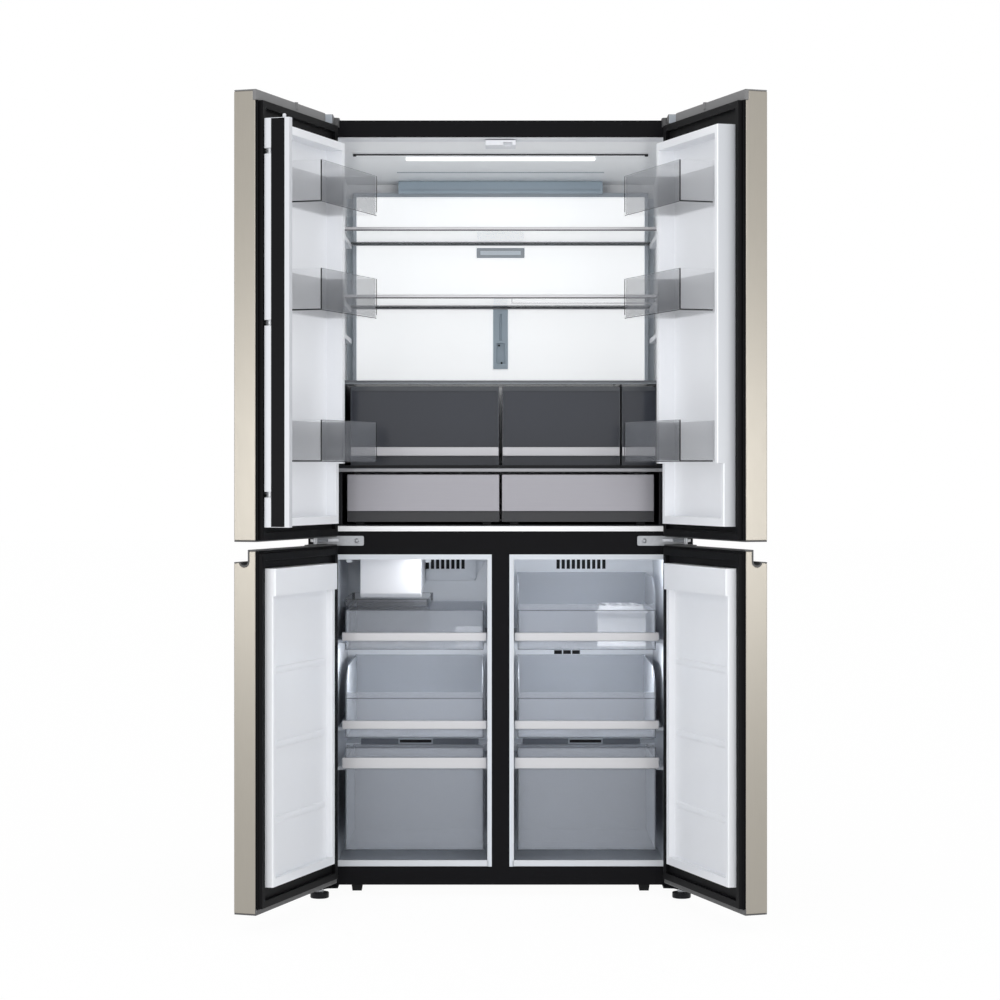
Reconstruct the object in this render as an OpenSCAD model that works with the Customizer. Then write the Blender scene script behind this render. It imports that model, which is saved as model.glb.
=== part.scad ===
// Four-door kitchen-fit fridge-freezer with its doors open, in millimetres.
// The left half is modelled and the right half is its mirror image where the two agree.

/* [Cabinet] */
// Width of the cabinet
cabinet_w = 912; // [890:1:960]
// Height of the cabinet top above the floor
cabinet_h = 1835; // [1815:1:1900]
// Depth of the cabinet behind its front plane
cabinet_d = 632; // [600:1:700]
// Height of the cabinet underside above the floor
base_z = 23; // [21:1:30]
// Thickness of the steel outer sheet
sheet_t = 1; // [0.8:0.1:2]
// Thickness of the painted front frame
frame_t = 3; // [2:0.5:5]
// Thickness of the moulded inner liners
liner_t = 2; // [1.5:0.5:3]
// Insulated side wall, from the outside to the liner's inner face
side_wall = 58; // [50:1:62]
// Insulated back wall
back_wall = 80; // [60:1:90]
// Height of the top band of the front frame
top_band = 40; // [34:1:50]
// Height of the bottom band of the front frame
bottom_band = 43; // [38:1:50]
// How far the middle rail starts below the lower doors' top
rail_drop = 26; // [17:1:37]
// Height of the middle rail itself
rail_h = 55; // [50:1:60]
// Width of the mullion between the freezer compartments
freezer_mullion = 42; // [36:1:50]

/* [Liners] */
// White lip that shows inside the frame at the fridge floor and the freezer ceiling
lip_h = 12; // [8:1:14]
// White lip that shows inside the frame at the freezer sides
lip_side = 8; // [5:1:10]
// How far the fridge ceiling drops from front to back
ceiling_drop = 48; // [30:1:55]
// Depth of the machine compartment at the bottom of the back
machine_d = 206; // [190:1:215]
// Height of the machine compartment
machine_h = 240; // [220:1:245]
// Insulation around the machine compartment
step_wall = 55; // [45:1:60]

/* [Doors] */
// Thickness of a door
door_t = 53; // [48:1:60]
// Gap between the left and right doors
door_gap = 6; // [4:0.5:8]
// Gap between a door's inner face and the cabinet's front plane
seal_gap = 12; // [10:0.5:14]
// Height of the lower doors above the floor
lower_door_z = 36; // [30:1:40]
// Height of a lower door
lower_door_h = 796; // [780:1:800]
// Gap between the upper and lower doors
tier_gap = 17; // [15:1:20]
// Angle of the open doors
open_angle = 109; // [95:1:112]
// Distance of the hinge axis from the cabinet side
hinge_in = 22; // [20:1:26]
// Distance of the hinge axis behind a door's outer face
hinge_back = 8; // [7:0.5:12]
// Rounding of the doors' upright edges
door_r = 2; // [1:0.5:3]
// Width of the cut-out for the top hinge
notch_w = 70; // [66:1:76]
// Depth of the cut-out for the top hinge
notch_h = 19; // [17:1:24]

/* [Grip] */
// Depth of the grip rebate along the top of the lower doors
grip_h = 27; // [20:1:34]
// Thickness that the grip rebate takes out of the door
grip_t = 33; // [26:1:36]
// Depth of the finger channel behind the front lip
channel_h = 8; // [5:1:12]

/* [Door liners] */
// Distance of the liners from the hinge side
liner_u = 66; // [62:1:70]
// Distance of the upper liners from the free side
upper_liner_free = 35; // [34:1:40]
// Distance of the lower liners from the free side
lower_liner_free = 33; // [31:1:40]
// Width of the raised border on a door liner
dike_w = 18; // [14:1:24]
// Height of the raised border on the upper liners
upper_dike = 49; // [40:1:52]
// Height of the border where it passes the pantry drawers
pantry_dike = 34; // [28:1:35]
// Height of the raised border on the lower liners
lower_dike = 24; // [18:1:26]
// Depth of the liners' middle panel above the door face
panel_w = 10; // [6:1:14]
// Distance from the upper door's top to its liner
upper_liner_top = 73; // [66:1:80]
// Distance from the upper door's bottom to its liner
liner_foot = 33; // [30:1:46]
// Distance from the lower door's bottom to its liner
lower_liner_foot = 57; // [50:1:64]
// Height of the lower liner's thicker head
head_h = 60; // [50:1:70]
// How much thicker that head is than the liner's border
head_extra = 6; // [2:1:7]
// Distance from the lower door's top to its liner
lower_liner_top = 42; // [40:1:52]

/* [Gasket] */
// Width of the magnetic bead
bead_w = 16; // [12:1:18]
// Thickness of the gasket's flange
flange_t = 3; // [2:0.5:4]
// Distance of the bead from the hinge side
bead_u = 22; // [16:1:28]

/* [Folding mullion] */
// Width of the bar that closes the gap between the upper doors
bar_w = 61; // [56:1:64]
// Thickness of the bar
bar_t = 15.5; // [14:0.5:18]

/* [Door bins] */
// Height of a door bin
bin_h = 92; // [80:1:100]
// How far a bin reaches in from the door face
bin_reach = 128; // [110:1:129]
// Wall of the clear bins and drawers
clear_t = 2.5; // [2:0.5:4]
// Height of the lowest bins above the crispers' underside
lowest_bin_lift = 6; // [4:1:20]
// Place of the middle bins between the lowest and the top ones
middle_bin_at = 0.583; // [0.5:0.001:0.6]
// Room between the top bins' floor and the top of the liner's pocket
top_bin_room = 152; // [130:1:155]

/* [Shelves] */
// Place of the upper shelf in the space over the crispers
upper_shelf_at = 0.704; // [0.68:0.001:0.72]
// Place of the lower shelf in the space over the crispers
lower_shelf_at = 0.391; // [0.36:0.001:0.42]
// Thickness of the glass
glass_t = 4; // [3:0.5:5]
// Distance of the shelf fronts behind the front plane
shelf_y = 120; // [118:1:130]
// Height of the shelves' front trim
trim_h = 9; // [7:1:12]

/* [Fridge drawers] */
// Height of the crisper cover above the crispers' underside
crisper_room = 205; // [190:1:220]
// Underside of the crispers above the fridge floor
crisper_lift = 145; // [143:1:149]
// Width of the side cheeks of the drawer frame
cheek_w = 20; // [16:1:24]
// Height of the deck between crispers and pantry drawers
deck_t = 16; // [12:1:18]
// Width of the narrow box beside the crispers
narrow_w = 84; // [70:1:100]
// Distance of the pantry drawers behind the front plane
pantry_y = 36; // [33:1:42]
// Height of the pantry drawer fronts
pantry_front_h = 88; // [80:1:90]
// Height of the grip strip under the pantry fronts
pantry_grip_h = 25; // [20:1:25]

/* [Freezer drawers] */
// Distance of the freezer drawers behind the front plane
freezer_y = 36; // [34:1:42]
// Place of the top drawers' underside in the height of the freezer
top_drawer_at = 0.7033; // [0.69:0.0001:0.71]
// Front height of the top drawers
top_drawer_h = 94; // [80:1:96]
// Place of the middle drawers' underside in the height of the freezer
mid_drawer_at = 0.4149; // [0.4:0.0001:0.42]
// Front height of the middle drawers
mid_drawer_h = 94; // [80:1:110]
// Underside of the lower drawers above the freezer floor
low_drawer_lift = 34; // [26:1:40]
// Room between the lower drawers and the middle ones
low_drawer_room = 24; // [14:1:40]
// How much higher the middle and top right drawers are at the back
drawer_rise = 74; // [40:1:80]
// How much lower the lower drawers are at the back
drawer_dip = 28; // [10:1:40]
// Clear width at the side of a freezer drawer
drawer_side = 12; // [12:0.5:15]
// Width of the flanges that slide on the ledges
flange_w = 8; // [6:0.5:10]
// Height of the drawers' silver band
band_h = 21; // [16:1:24]
// Height of the silver band on the lower drawers
low_band_h = 27; // [20:1:30]
// Width of the ice maker
maker_w = 147; // [120:1:160]

/* [Fits] */
// Running gap between pieces that slide or rest
run_gap = 0.3; // [0.2:0.05:0.5]
// Radius of the hinge pins
pin_r = 5; // [4:0.5:6]
// Radial gap between a hinge pin and its bore
pin_gap = 0.06; // [0.03:0.01:0.1]

/* [Cooling] */
// Radius of the compressor shell
compressor_r = 62; // [50:1:68]
// Radius of the condenser fan
fan_r = 52; // [44:1:60]
// Radius of the freezer air fan
air_fan_r = 42; // [36:1:46]
// Number of fan blades
blades = 7; // [5:1:9]
// Number of evaporator fins
fins = 16; // [8:1:20]
// Number of slots in a freezer grille
slots = 10; // [6:1:11]

/* [Feet] */
// Radius of a levelling foot
foot_r = 22; // [16:1:24]
// Height of a levelling foot's disc
foot_h = 13; // [10:1:15]
// Radius of the threaded stems
stem_r = 5; // [4:0.5:6]

/* [Hidden] */
$fn = 48;

// Doors
door_w = (cabinet_w - door_gap) / 2;
lower_door_top = lower_door_z + lower_door_h;
rail_z = lower_door_top - rail_drop;
upper_door_z = lower_door_top + tier_gap;
upper_door_top = cabinet_h;
hinge_w = hinge_back - door_t;
hinge_x = -cabinet_w / 2 + hinge_in;
hinge_y = -seal_gap + hinge_w;
notch_z = upper_door_top - notch_h;
bore_h = 20;

// Spaces inside the cabinet
inner_x = cabinet_w / 2 - side_wall;
inner_back = cabinet_d - back_wall;
frame_top = cabinet_h - top_band;
frame_bottom = base_z + bottom_band;
fridge_floor = rail_z + rail_h + lip_h;
freezer_top = rail_z - lip_h;
freezer_floor = frame_bottom;
freezer_in = freezer_mullion / 2 + lip_side;
freezer_out = cabinet_w / 2 - side_wall - lip_side;
step_y = cabinet_d - machine_d - step_wall;
step_z = base_z + machine_h + step_wall;
machine_top = base_z + machine_h;
machine_y = cabinet_d - machine_d;

// Fridge interior
duct_t = 34;
duct_y = inner_back - duct_t;
crisper_z = fridge_floor + crisper_lift;
cover_z = crisper_z + crisper_room;
panel_x = inner_x - 26;
panel_top = frame_top - ceiling_drop - 36;
shelf_z1 = cover_z + upper_shelf_at * (frame_top - ceiling_drop - cover_z);
shelf_z2 = cover_z + lower_shelf_at * (frame_top - ceiling_drop - cover_z);
lamp_y = 236;
lamp_w = 2 * (inner_x - 165);
slot_y = 185;
slot_x = inner_x - 35;
cheek_in = inner_x - cheek_w;
shelf_back = duct_y - 6;
shelf_trim_d = 8;
deck_z = crisper_z - run_gap - deck_t;
crisper_top = cover_z - trim_h - 6;
crisper_in = 4;
narrow_x = cheek_in - run_gap - narrow_w;
narrow_wall = 3;
crisper_back = duct_y - 14;
pantry_top = deck_z - 6;
pantry_in = 3;
pantry_out = cheek_in - 12;
pantry_floor = pantry_top - pantry_front_h - pantry_grip_h;
inlet_x = 120;

// Freezer interior
cover_y = inner_back - 97;
freezer_cover_t = 3;
freezer_h = freezer_top - freezer_floor;
top_drawer_z = freezer_floor + round(top_drawer_at * freezer_h);
mid_drawer_z = freezer_floor + round(mid_drawer_at * freezer_h);
low_drawer_z = freezer_floor + low_drawer_lift;
low_drawer_h = mid_drawer_z - low_drawer_z - low_drawer_room;
drawer_in = freezer_in + 4;
drawer_out = freezer_out - drawer_side;
drawer_back = cover_y - 12;
low_back = step_y - 8;
ledge_y = freezer_y + 24;
top_band_z = top_drawer_z + 20;
mid_band_z = mid_drawer_z + 20;
low_band_z = low_drawer_z + low_drawer_h - 50;
grille_left = -freezer_out + 173;
grille_right = freezer_out - 247;
return_w = 80;
return_x = freezer_out - 216;
grille_pitch = 13;
grille_slot = 8.5;
maker_x0 = -freezer_out + 51;
maker_x1 = maker_x0 + maker_w;
maker_y = 108;
maker_z = freezer_top - 96;
air_fan_x = -(freezer_in + freezer_out) / 2;
air_fan_y = cover_y + 30;
air_fan_z = 640;

// Machine compartment
pan_t = 2;
compressor_x = -cabinet_w * 0.274;
compressor_h = 150;
machine_mid = (machine_y + cabinet_d) / 2;
condenser_w = 250;
condenser_x1 = cabinet_w * 0.285;
condenser_x0 = condenser_x1 - condenser_w;
fan_x = condenser_x0 - 80;
fan_z = base_z + 84;
shaft_r = 2;
fan_gap = 1;
valve_x = cabinet_w / 2 - 116;
valve_z = base_z + 110;
inlet_r = 13.2;

// Folding mullion, in the closed door's own frame
bar_w0 = seal_gap + 0.5;
bar_u0 = door_w + door_gap / 2 - bar_w / 2;
bar_pivot_r = 13.4;
pivot_u = bar_u0 + 10;
pivot_w = bar_w0 + bar_pivot_r;
bar_z0 = fridge_floor + 8;
bar_top = frame_top - 24;
nub_u = pivot_u + 36;
nub_x = -cabinet_w / 2 + nub_u;
nub_r = 4;
knuckle_h = 12;
knuckle_pin_r = 2.5;

// The origin is on the floor, in the middle of the space that the open object takes,
// which reaches to the edge of the folded mullion on the open door
open_reach = -hinge_y + (pivot_u + bar_pivot_r - hinge_in) * sin(open_angle)
    - (pivot_w + bar_w - 10 - hinge_w) * cos(open_angle);
front_y = (open_reach - cabinet_d) / 2;

// Door liners and gaskets
cap_h = 23.5;
lower_cap_h = 14;
flange_in = 3;
upper_liner_u1 = door_w - upper_liner_free;
lower_liner_u1 = door_w - lower_liner_free;
upper_liner_z0 = upper_door_z + liner_foot;
upper_liner_z1 = upper_door_top - upper_liner_top;
lower_liner_z0 = lower_door_z + lower_liner_foot;
lower_liner_z1 = lower_door_top - lower_liner_top;
draft = 3;
bin_z1 = crisper_z + lowest_bin_lift;
bin_z3 = upper_liner_z1 - dike_w - top_bin_room;
bin_z2 = bin_z1 + middle_bin_at * (bin_z3 - bin_z1);

// Heights of the knuckles that carry the folding mullion
knuckles = [for (t = [0.08, 0.5, 0.92]) bar_z0 + t * (bar_top - bar_z0)];

// Hinges and feet
hinge_nose = hinge_back - 1;
foot_x = -hinge_x - 8;
foot_y = -40;

// Colours
warm_steel = "#b4afa6";
cap_grey = "#66666a";
near_black = "#1c1c1f";
liner_white = "#e9ebef";
clear_grey = "#a9afb8";
smoke_grey = "#50535a";
trim_silver = "#b9bac0";

// Placing

// Moves a piece from the cabinet's front plane to the model's own origin
module placed() {
    translate([0, front_y, 0]) children();
}

module mirrored() {
    mirror([1, 0, 0]) children();
}

module both_sides() {
    children();
    mirrored() children();
}

// Puts a piece drawn in a closed door's frame (u across, w inwards) on the open left door
module on_left_door() {
    placed() translate([hinge_x, hinge_y, 0]) rotate([0, 0, -open_angle]) translate([-hinge_in, -hinge_w, 0])
        children();
}

module on_right_door() {
    mirrored() on_left_door() children();
}

// Box between two corners
module block(low, high) {
    translate(low) cube(high - low);
}

// Side view outline (y, z), extruded from x0 to x1
module across(x0, x1) {
    translate([x0, 0, 0]) rotate([90, 0, 90]) linear_extrude(x1 - x0) children();
}

// Front view outline (x, z), extruded from y0 to y1
module along(y0, y1) {
    translate([0, y1, 0]) rotate([90, 0, 0]) linear_extrude(y1 - y0) children();
}

// Plan outline (x, y), extruded from z0 to z1
module upright(z0, z1) {
    translate([0, 0, z0]) linear_extrude(z1 - z0) children();
}

module rect(x0, x1, y0, y1) {
    translate([x0, y0]) square([x1 - x0, y1 - y0]);
}

// Rectangle with round corners
module soft_rect(x0, x1, y0, y1, r) {
    rect(x0 + r, x1 - r, y0, y1);
    rect(x0, x1, y0 + r, y1 - r);
    for (x = [x0 + r, x1 - r], y = [y0 + r, y1 - r])
        translate([x, y]) circle(r);
}

// Frame between two upright rectangles, in a door's or the cabinet's front view
module ring(x0, x1, z0, z1, width) {
    difference() {
        rect(x0, x1, z0, z1);
        rect(x0 + width, x1 - width, z0 + width, z1 - width);
    }
}

// Cabinet

// Side outline of the fridge space, grown by g behind the front plane
module fridge_outline(g) {
    polygon([[-1, fridge_floor - g], [inner_back + g, fridge_floor - g],
        [inner_back + g, frame_top - ceiling_drop + g], [-1, frame_top + g]]);
}

// Side outline of a freezer space, with its step over the machine compartment
module freezer_outline(g) {
    polygon([[-1, freezer_floor - g], [step_y + g, freezer_floor - g], [step_y + g, step_z - g],
        [inner_back + g, step_z - g], [inner_back + g, freezer_top + g], [-1, freezer_top + g]]);
}

module fridge_space(g) {
    across(-inner_x - g, inner_x + g) fridge_outline(g);
}

module freezer_spaces(g) {
    both_sides() across(freezer_in - g, freezer_out + g) freezer_outline(g);
}

module case() {
    color(cap_grey) placed() difference() {
        across(-cabinet_w / 2, cabinet_w / 2) rect(frame_t, cabinet_d, base_z, cabinet_h);
        across(-cabinet_w / 2 + sheet_t, cabinet_w / 2 - sheet_t)
            rect(frame_t - 1, cabinet_d - sheet_t, base_z - 1, cabinet_h - sheet_t);
        // the back stays open behind the machine compartment
        block([-cabinet_w / 2 + sheet_t, cabinet_d - 2 * sheet_t, base_z - 1],
            [cabinet_w / 2 - sheet_t, cabinet_d + 1, machine_top]);
    }
}

module insulation() {
    color("#e8dfb8") placed() difference() {
        block([-cabinet_w / 2 + sheet_t, frame_t, base_z],
            [cabinet_w / 2 - sheet_t, cabinet_d - sheet_t, cabinet_h - sheet_t]);
        fridge_space(liner_t);
        freezer_spaces(liner_t);
        block([-cabinet_w, machine_y, base_z - 1], [cabinet_w, cabinet_d, machine_top]);
    }
}

module fridge_liner() {
    color(liner_white) placed() difference() {
        union() {
            intersection() {
                fridge_space(liner_t);
                block([-cabinet_w, frame_t, 0], [cabinet_w, cabinet_d, cabinet_h]);
            }
            along(0, frame_t) rect(-inner_x, inner_x, rail_z + rail_h, frame_top);
        }
        fridge_space(0);
        // ceiling groove that carries the lamp
        along(lamp_y - 12, lamp_y + 12)
            rect(-lamp_w / 2, lamp_w / 2, frame_top - ceiling_drop, frame_top + 1);
        // narrow air groove in front of the lamp
        across(-slot_x, slot_x) rect(slot_y - 2, slot_y + 2, ceiling_z(slot_y) - 2, ceiling_z(slot_y) + 1.2);
    }
}

module freezer_liners() {
    color(liner_white) placed() difference() {
        union() {
            intersection() {
                freezer_spaces(liner_t);
                block([-cabinet_w, frame_t, 0], [cabinet_w, cabinet_d, cabinet_h]);
            }
            both_sides() along(0, frame_t)
                rect(freezer_mullion / 2, inner_x, freezer_floor, rail_z);
        }
        freezer_spaces(0);
    }
}

module front_frame() {
    color(near_black) placed() along(0, frame_t) difference() {
        rect(-cabinet_w / 2, cabinet_w / 2, base_z, cabinet_h);
        rect(-inner_x, inner_x, rail_z + rail_h, frame_top);
        rect(-inner_x, -freezer_mullion / 2, frame_bottom, rail_z);
        rect(freezer_mullion / 2, inner_x, frame_bottom, rail_z);
    }
}

// Steel cover of the machine compartment, with its air slots and the mains gland
module rear_cover() {
    cover_x = cabinet_w / 2 - sheet_t - run_gap;
    gland_x = cabinet_w / 2 - 156;
    gland_z = machine_top - 40;
    color(cap_grey) placed() difference() {
        union() {
            along(cabinet_d - sheet_t - 0.5, cabinet_d)
                rect(-cover_x, cover_x, base_z + 2, machine_top - run_gap);
            translate([gland_x, cabinet_d - 8, gland_z]) rotate([-90, 0, 0]) cylinder(r = 9, h = 8);
        }
        // opening round the water inlet
        translate([valve_x, cabinet_d - 4, valve_z]) rotate([-90, 0, 0]) cylinder(r = inlet_r + 13, h = 6);
        for (i = [-9:9], row = [0, 1])
            translate([i * 28, 0, 70 + row * 80])
                along(cabinet_d - 4, cabinet_d + 1) soft_rect(-4, 4, 0, 55, 3.9);
        translate([gland_x, cabinet_d - 9, gland_z]) rotate([-90, 0, 0]) cylinder(r = 4.5, h = 12);
    }
}

// Fridge interior

// Back panel with its air channel, outlet and side grooves
module air_duct() {
    vent_x = 52;
    vent_z = shelf_z1 - 30;
    color(liner_white) placed() {
        difference() {
            union() {
                block([-panel_x, duct_y, cover_z + 2], [panel_x, inner_back - run_gap, panel_top]);
                // side flanges, set back from the panel's face
                block([-panel_x - 10, duct_y + 3, cover_z + 2],
                    [panel_x + 10, inner_back - run_gap, panel_top]);
            }
            block([-60, duct_y + 4, cover_z + 1], [60, inner_back + 1, panel_top - 20]);
            // air outlet between the shelves
            block([-vent_x, duct_y - 1, vent_z], [vent_x, duct_y + 5, vent_z + 10]);
        }
        along(duct_y - 2, duct_y + 1) difference() {
            soft_rect(-vent_x - 10, vent_x + 10, vent_z - 8, vent_z + 18, 3);
            rect(-vent_x, vent_x, vent_z, vent_z + 10);
        }
        // top duct under the ceiling
        across(135 - inner_x, inner_x - 135) polygon([[duct_y - 26, panel_top + 4],
            [inner_back - run_gap, panel_top + 4], [inner_back - run_gap, panel_top + 32],
            [duct_y - 14, panel_top + 32]]);
    }
}

// Height of the sloping ceiling at a given depth
function ceiling_z(y) = frame_top - ceiling_drop * (y + 1) / (inner_back + 1);

module ceiling_lamp() {
    color("white") placed()
        block([-lamp_w / 2 + run_gap, lamp_y - 12 + run_gap, ceiling_z(lamp_y) - 4],
            [lamp_w / 2 - run_gap, lamp_y + 12 - run_gap, ceiling_z(lamp_y) + liner_t - 1]);
}

// Block under the front of the ceiling that turns the folding mullion
module mullion_guide() {
    guide_bottom = bar_top + 4;
    guide_back = 60;
    color(liner_white) placed() difference() {
        across(-36, 36) polygon([[5, guide_bottom + 2], [guide_back, guide_bottom],
            [guide_back, ceiling_z(guide_back) - run_gap], [5, ceiling_z(guide_back) - run_gap]]);
        // track for the mullion's nub, open to the front
        upright(guide_bottom - 1, guide_bottom + 9) rect(nub_x - nub_r - 5, nub_x + nub_r + 8, 2, 27);
    }
}

module shelf_pane(z) {
    block([-inner_x + 12, shelf_y + 6, z - glass_t], [inner_x - 12, shelf_back, z]);
}

module glass_shelves() {
    color(clear_grey) placed() for (z = [shelf_z1, shelf_z2]) shelf_pane(z);
}

// Front and back trims that clip round the glass
module shelf_trims() {
    trim_d = shelf_trim_d;
    rail_x0 = 26;
    color(trim_silver) placed() for (z = [shelf_z1, shelf_z2]) difference() {
        union() {
            across(-inner_x + 3, inner_x - 3)
                soft_rect(shelf_y, shelf_y + 14, z - glass_t - 2, z - glass_t - 2 + trim_h, 1.5);
            across(-inner_x + 12, inner_x - 12)
                rect(shelf_back - trim_d, shelf_back + 3, z - glass_t - 3, z + 3);
        }
        shelf_pane(z);
    }
    // low rail that hangs under the right half of the lower shelf
    color(trim_silver) placed() along(shelf_y + 2, shelf_y + 6) difference() {
        rect(rail_x0, inner_x - 6, shelf_z2 - 19, shelf_z2 - glass_t - 1);
        rect(rail_x0 + 3, inner_x - 9, shelf_z2 - 16, shelf_z2 - glass_t - 1.9);
    }
}

// Moulded ledges with a front knob that carry the shelves, and one spare pair
module shelf_supports() {
    ledge_h = 12;
    spare_drop = 80;
    color(liner_white) placed() for (z = [shelf_z1, shelf_z2, shelf_z2 - spare_drop]) both_sides()
        across(inner_x - 14, inner_x) difference() {
            union() {
                rect(shelf_y + 16, shelf_back - shelf_trim_d - run_gap, z - glass_t - ledge_h, z - glass_t);
                translate([shelf_y + 32, z - glass_t - ledge_h]) circle(16);
            }
            rect(shelf_y, shelf_back, z - glass_t, z + 20);
        }
}

// Upright rail behind the lower shelf, with its slit and window
module centre_rail() {
    rail_x = 19;
    rail_bottom = cover_z + 44;
    rail_top = shelf_z2 - glass_t - 3 - run_gap;
    rail_l = rail_top - rail_bottom;
    color(cap_grey) placed() difference() {
        block([-rail_x, duct_y - 11, rail_bottom], [rail_x, duct_y - run_gap, rail_top]);
        block([-3, duct_y - 12, rail_bottom + 0.48 * rail_l], [3, duct_y - 5, rail_bottom + 0.92 * rail_l]);
        block([-10, duct_y - 12, rail_bottom + 0.09 * rail_l],
            [10, duct_y - 4, rail_bottom + 0.43 * rail_l]);
    }
}

// Glass cover over the crispers, in its silver frame
module crisper_cover() {
    color(trim_silver) placed() difference() {
        union() {
            block([-inner_x + 1, shelf_y - 1, cover_z - glass_t], [inner_x - 1, duct_y - 2, cover_z]);
            across(-inner_x + 1, inner_x - 1)
                soft_rect(shelf_y - 2, shelf_y + 10, cover_z - trim_h, cover_z, 1.5);
        }
        // air inlet at the back
        block([-inlet_x, duct_y - 12, cover_z - 20], [inlet_x, duct_y, cover_z + 1]);
    }
}

// Dark frame that carries the crispers and covers the pantry drawers
module drawer_frame() {
    deck_top = crisper_z - run_gap;
    color(near_black) placed() {
        both_sides() {
            // cheeks beside the crispers and beside the pantry drawers
            block([cheek_in, shelf_y + 2, deck_top],
                [inner_x - run_gap, duct_y - 4, cover_z - trim_h - run_gap]);
            block([cheek_in, pantry_y + 1, fridge_floor + run_gap], [inner_x - run_gap, duct_y - 4, deck_z]);
        }
        // deck with its raised front trim
        block([-inner_x + run_gap, pantry_y + 1, deck_z], [inner_x - run_gap, duct_y - 4, deck_top]);
        // floor tray with the runners of the pantry drawers
        block([-cheek_in, pantry_y + 1, fridge_floor + run_gap], [cheek_in, duct_y - 4, fridge_floor + 3]);
        both_sides() for (x = [pantry_in + 20, pantry_out - 40])
            block([x, pantry_y + 20, fridge_floor + 2], [x + 20, duct_y - 30, pantry_floor - run_gap]);
        // partition beside the narrow box
        block([narrow_x - narrow_wall - run_gap, shelf_y + 4, deck_top],
            [narrow_x - run_gap, duct_y - 4, cover_z - trim_h - run_gap]);
    }
}

// Clear box with a deeper front, from x0 to x1
module crisper_box(x0, x1) {
    handle_z = crisper_z + 22;
    difference() {
        union() {
            block([x0, shelf_y, crisper_z], [x1, crisper_back, crisper_top]);
            // handle band that stands proud of the front
            across(x0, x1) soft_rect(shelf_y - 2, shelf_y + 6, handle_z, handle_z + 22, 1.5);
        }
        block([x0 + clear_t, shelf_y + 8, crisper_z + clear_t],
            [x1 - clear_t, crisper_back - clear_t, crisper_top + 1]);
        // sunk panel above the band
        along(shelf_y - 1, shelf_y + 2)
            soft_rect(x0 + 5, x1 - 5, handle_z + 24, crisper_top - 11, 2);
        // finger grip under the band
        block([x0 + 12, shelf_y - 3, crisper_z + 4], [x1 - 12, shelf_y + 4, handle_z]);
    }
}

module left_crisper() {
    color(smoke_grey) placed() crisper_box(-cheek_in + 15, -crisper_in);
}

module right_crisper() {
    color(smoke_grey) placed() crisper_box(crisper_in, narrow_x - narrow_wall - 2 * run_gap - 1);
}

module narrow_crisper() {
    color(smoke_grey) placed() crisper_box(narrow_x, narrow_x + narrow_w - 2);
}

// Metal-fronted shallow drawer with a dark grip strip under the front
module pantry_drawer() {
    front_z0 = pantry_top - pantry_front_h;
    difference() {
        union() {
            along(pantry_y, pantry_y + 8) soft_rect(pantry_in, pantry_out, front_z0, pantry_top, 3);
            block([pantry_in, pantry_y + 6, pantry_floor], [pantry_out, pantry_y + 14, front_z0 + 10]);
            block([pantry_in + 3, pantry_y + 12, pantry_floor],
                [pantry_out - 3, duct_y - 20, pantry_top - 6]);
        }
        block([pantry_in + 3 + clear_t, pantry_y + 14, pantry_floor + clear_t],
            [pantry_out - 3 - clear_t, duct_y - 20 - clear_t, pantry_top + 1]);
        // finger channel behind the front's lower edge
        across(pantry_in + 6, pantry_out - 6) rect(pantry_y + 3, pantry_y + 8, front_z0 - 1, front_z0 + 12);
    }
}

module left_pantry_drawer() {
    color(trim_silver) placed() mirrored() pantry_drawer();
}

module right_pantry_drawer() {
    color(trim_silver) placed() pantry_drawer();
}

// Freezer interior

// Back covers with their slatted grilles and the fan's motor
module freezer_duct_covers() {
    cover_back = cover_y + freezer_cover_t;
    raised_t = 8;
    mid_outlet_x = grille_right - 6;
    color(liner_white) placed() {
        difference() {
            union() {
                both_sides() block([freezer_in + run_gap, cover_y, step_z + run_gap],
                    [freezer_out - run_gap, cover_back, freezer_top - run_gap]);
                // raised panel round the left outlets, beside the ice maker
                along(cover_y - raised_t, cover_y + 1)
                    soft_rect(maker_x1 + 2, -freezer_in - 34, freezer_top - 70, freezer_top - run_gap, 7);
                // raised frame round each return
                both_sides() along(cover_y - 3, cover_y + 1)
                    soft_rect(return_x - 4, return_x + return_w + 4, step_z + 4, step_z + 28, 6);
            }
            // air outlets at the top
            for (i = [0:slots - 1], x = [grille_left, grille_right])
                translate([x + i * grille_pitch, 0, freezer_top - 40])
                    along(cover_y - raised_t - 1, cover_back + 1) rect(0, grille_slot, 0, 28);
            // outlets between the right drawers
            for (i = [0:2])
                translate([mid_outlet_x + i * 23, 0, top_drawer_z - 42])
                    along(cover_y - 1, cover_back + 1) rect(0, 20, 0, 10);
            // air returns at the bottom
            both_sides() along(cover_y - 4, cover_back + 1)
                soft_rect(return_x, return_x + return_w, step_z + 10, step_z + 22, 4);
        }
        // return hood over the front edge of the step
        both_sides() difference() {
            union() {
                block([freezer_in + 26, step_y - 5, step_z - 56],
                    [freezer_out - 38, step_y - run_gap, step_z + 2]);
                block([freezer_in + 26, step_y - 5, step_z + run_gap],
                    [freezer_out - 38, step_y + 3, step_z + 13]);
            }
            along(step_y - 6, step_y + 4)
                soft_rect(return_x, return_x + return_w, step_z + 1.5, step_z + 11, 4);
        }
        translate([air_fan_x, cover_back, air_fan_z]) rotate([-90, 0, 0]) {
            cylinder(r = 12, h = air_fan_y - cover_back - fan_gap);
            cylinder(r = shaft_r, h = air_fan_y - cover_back + 10);
        }
    }
}

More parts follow.
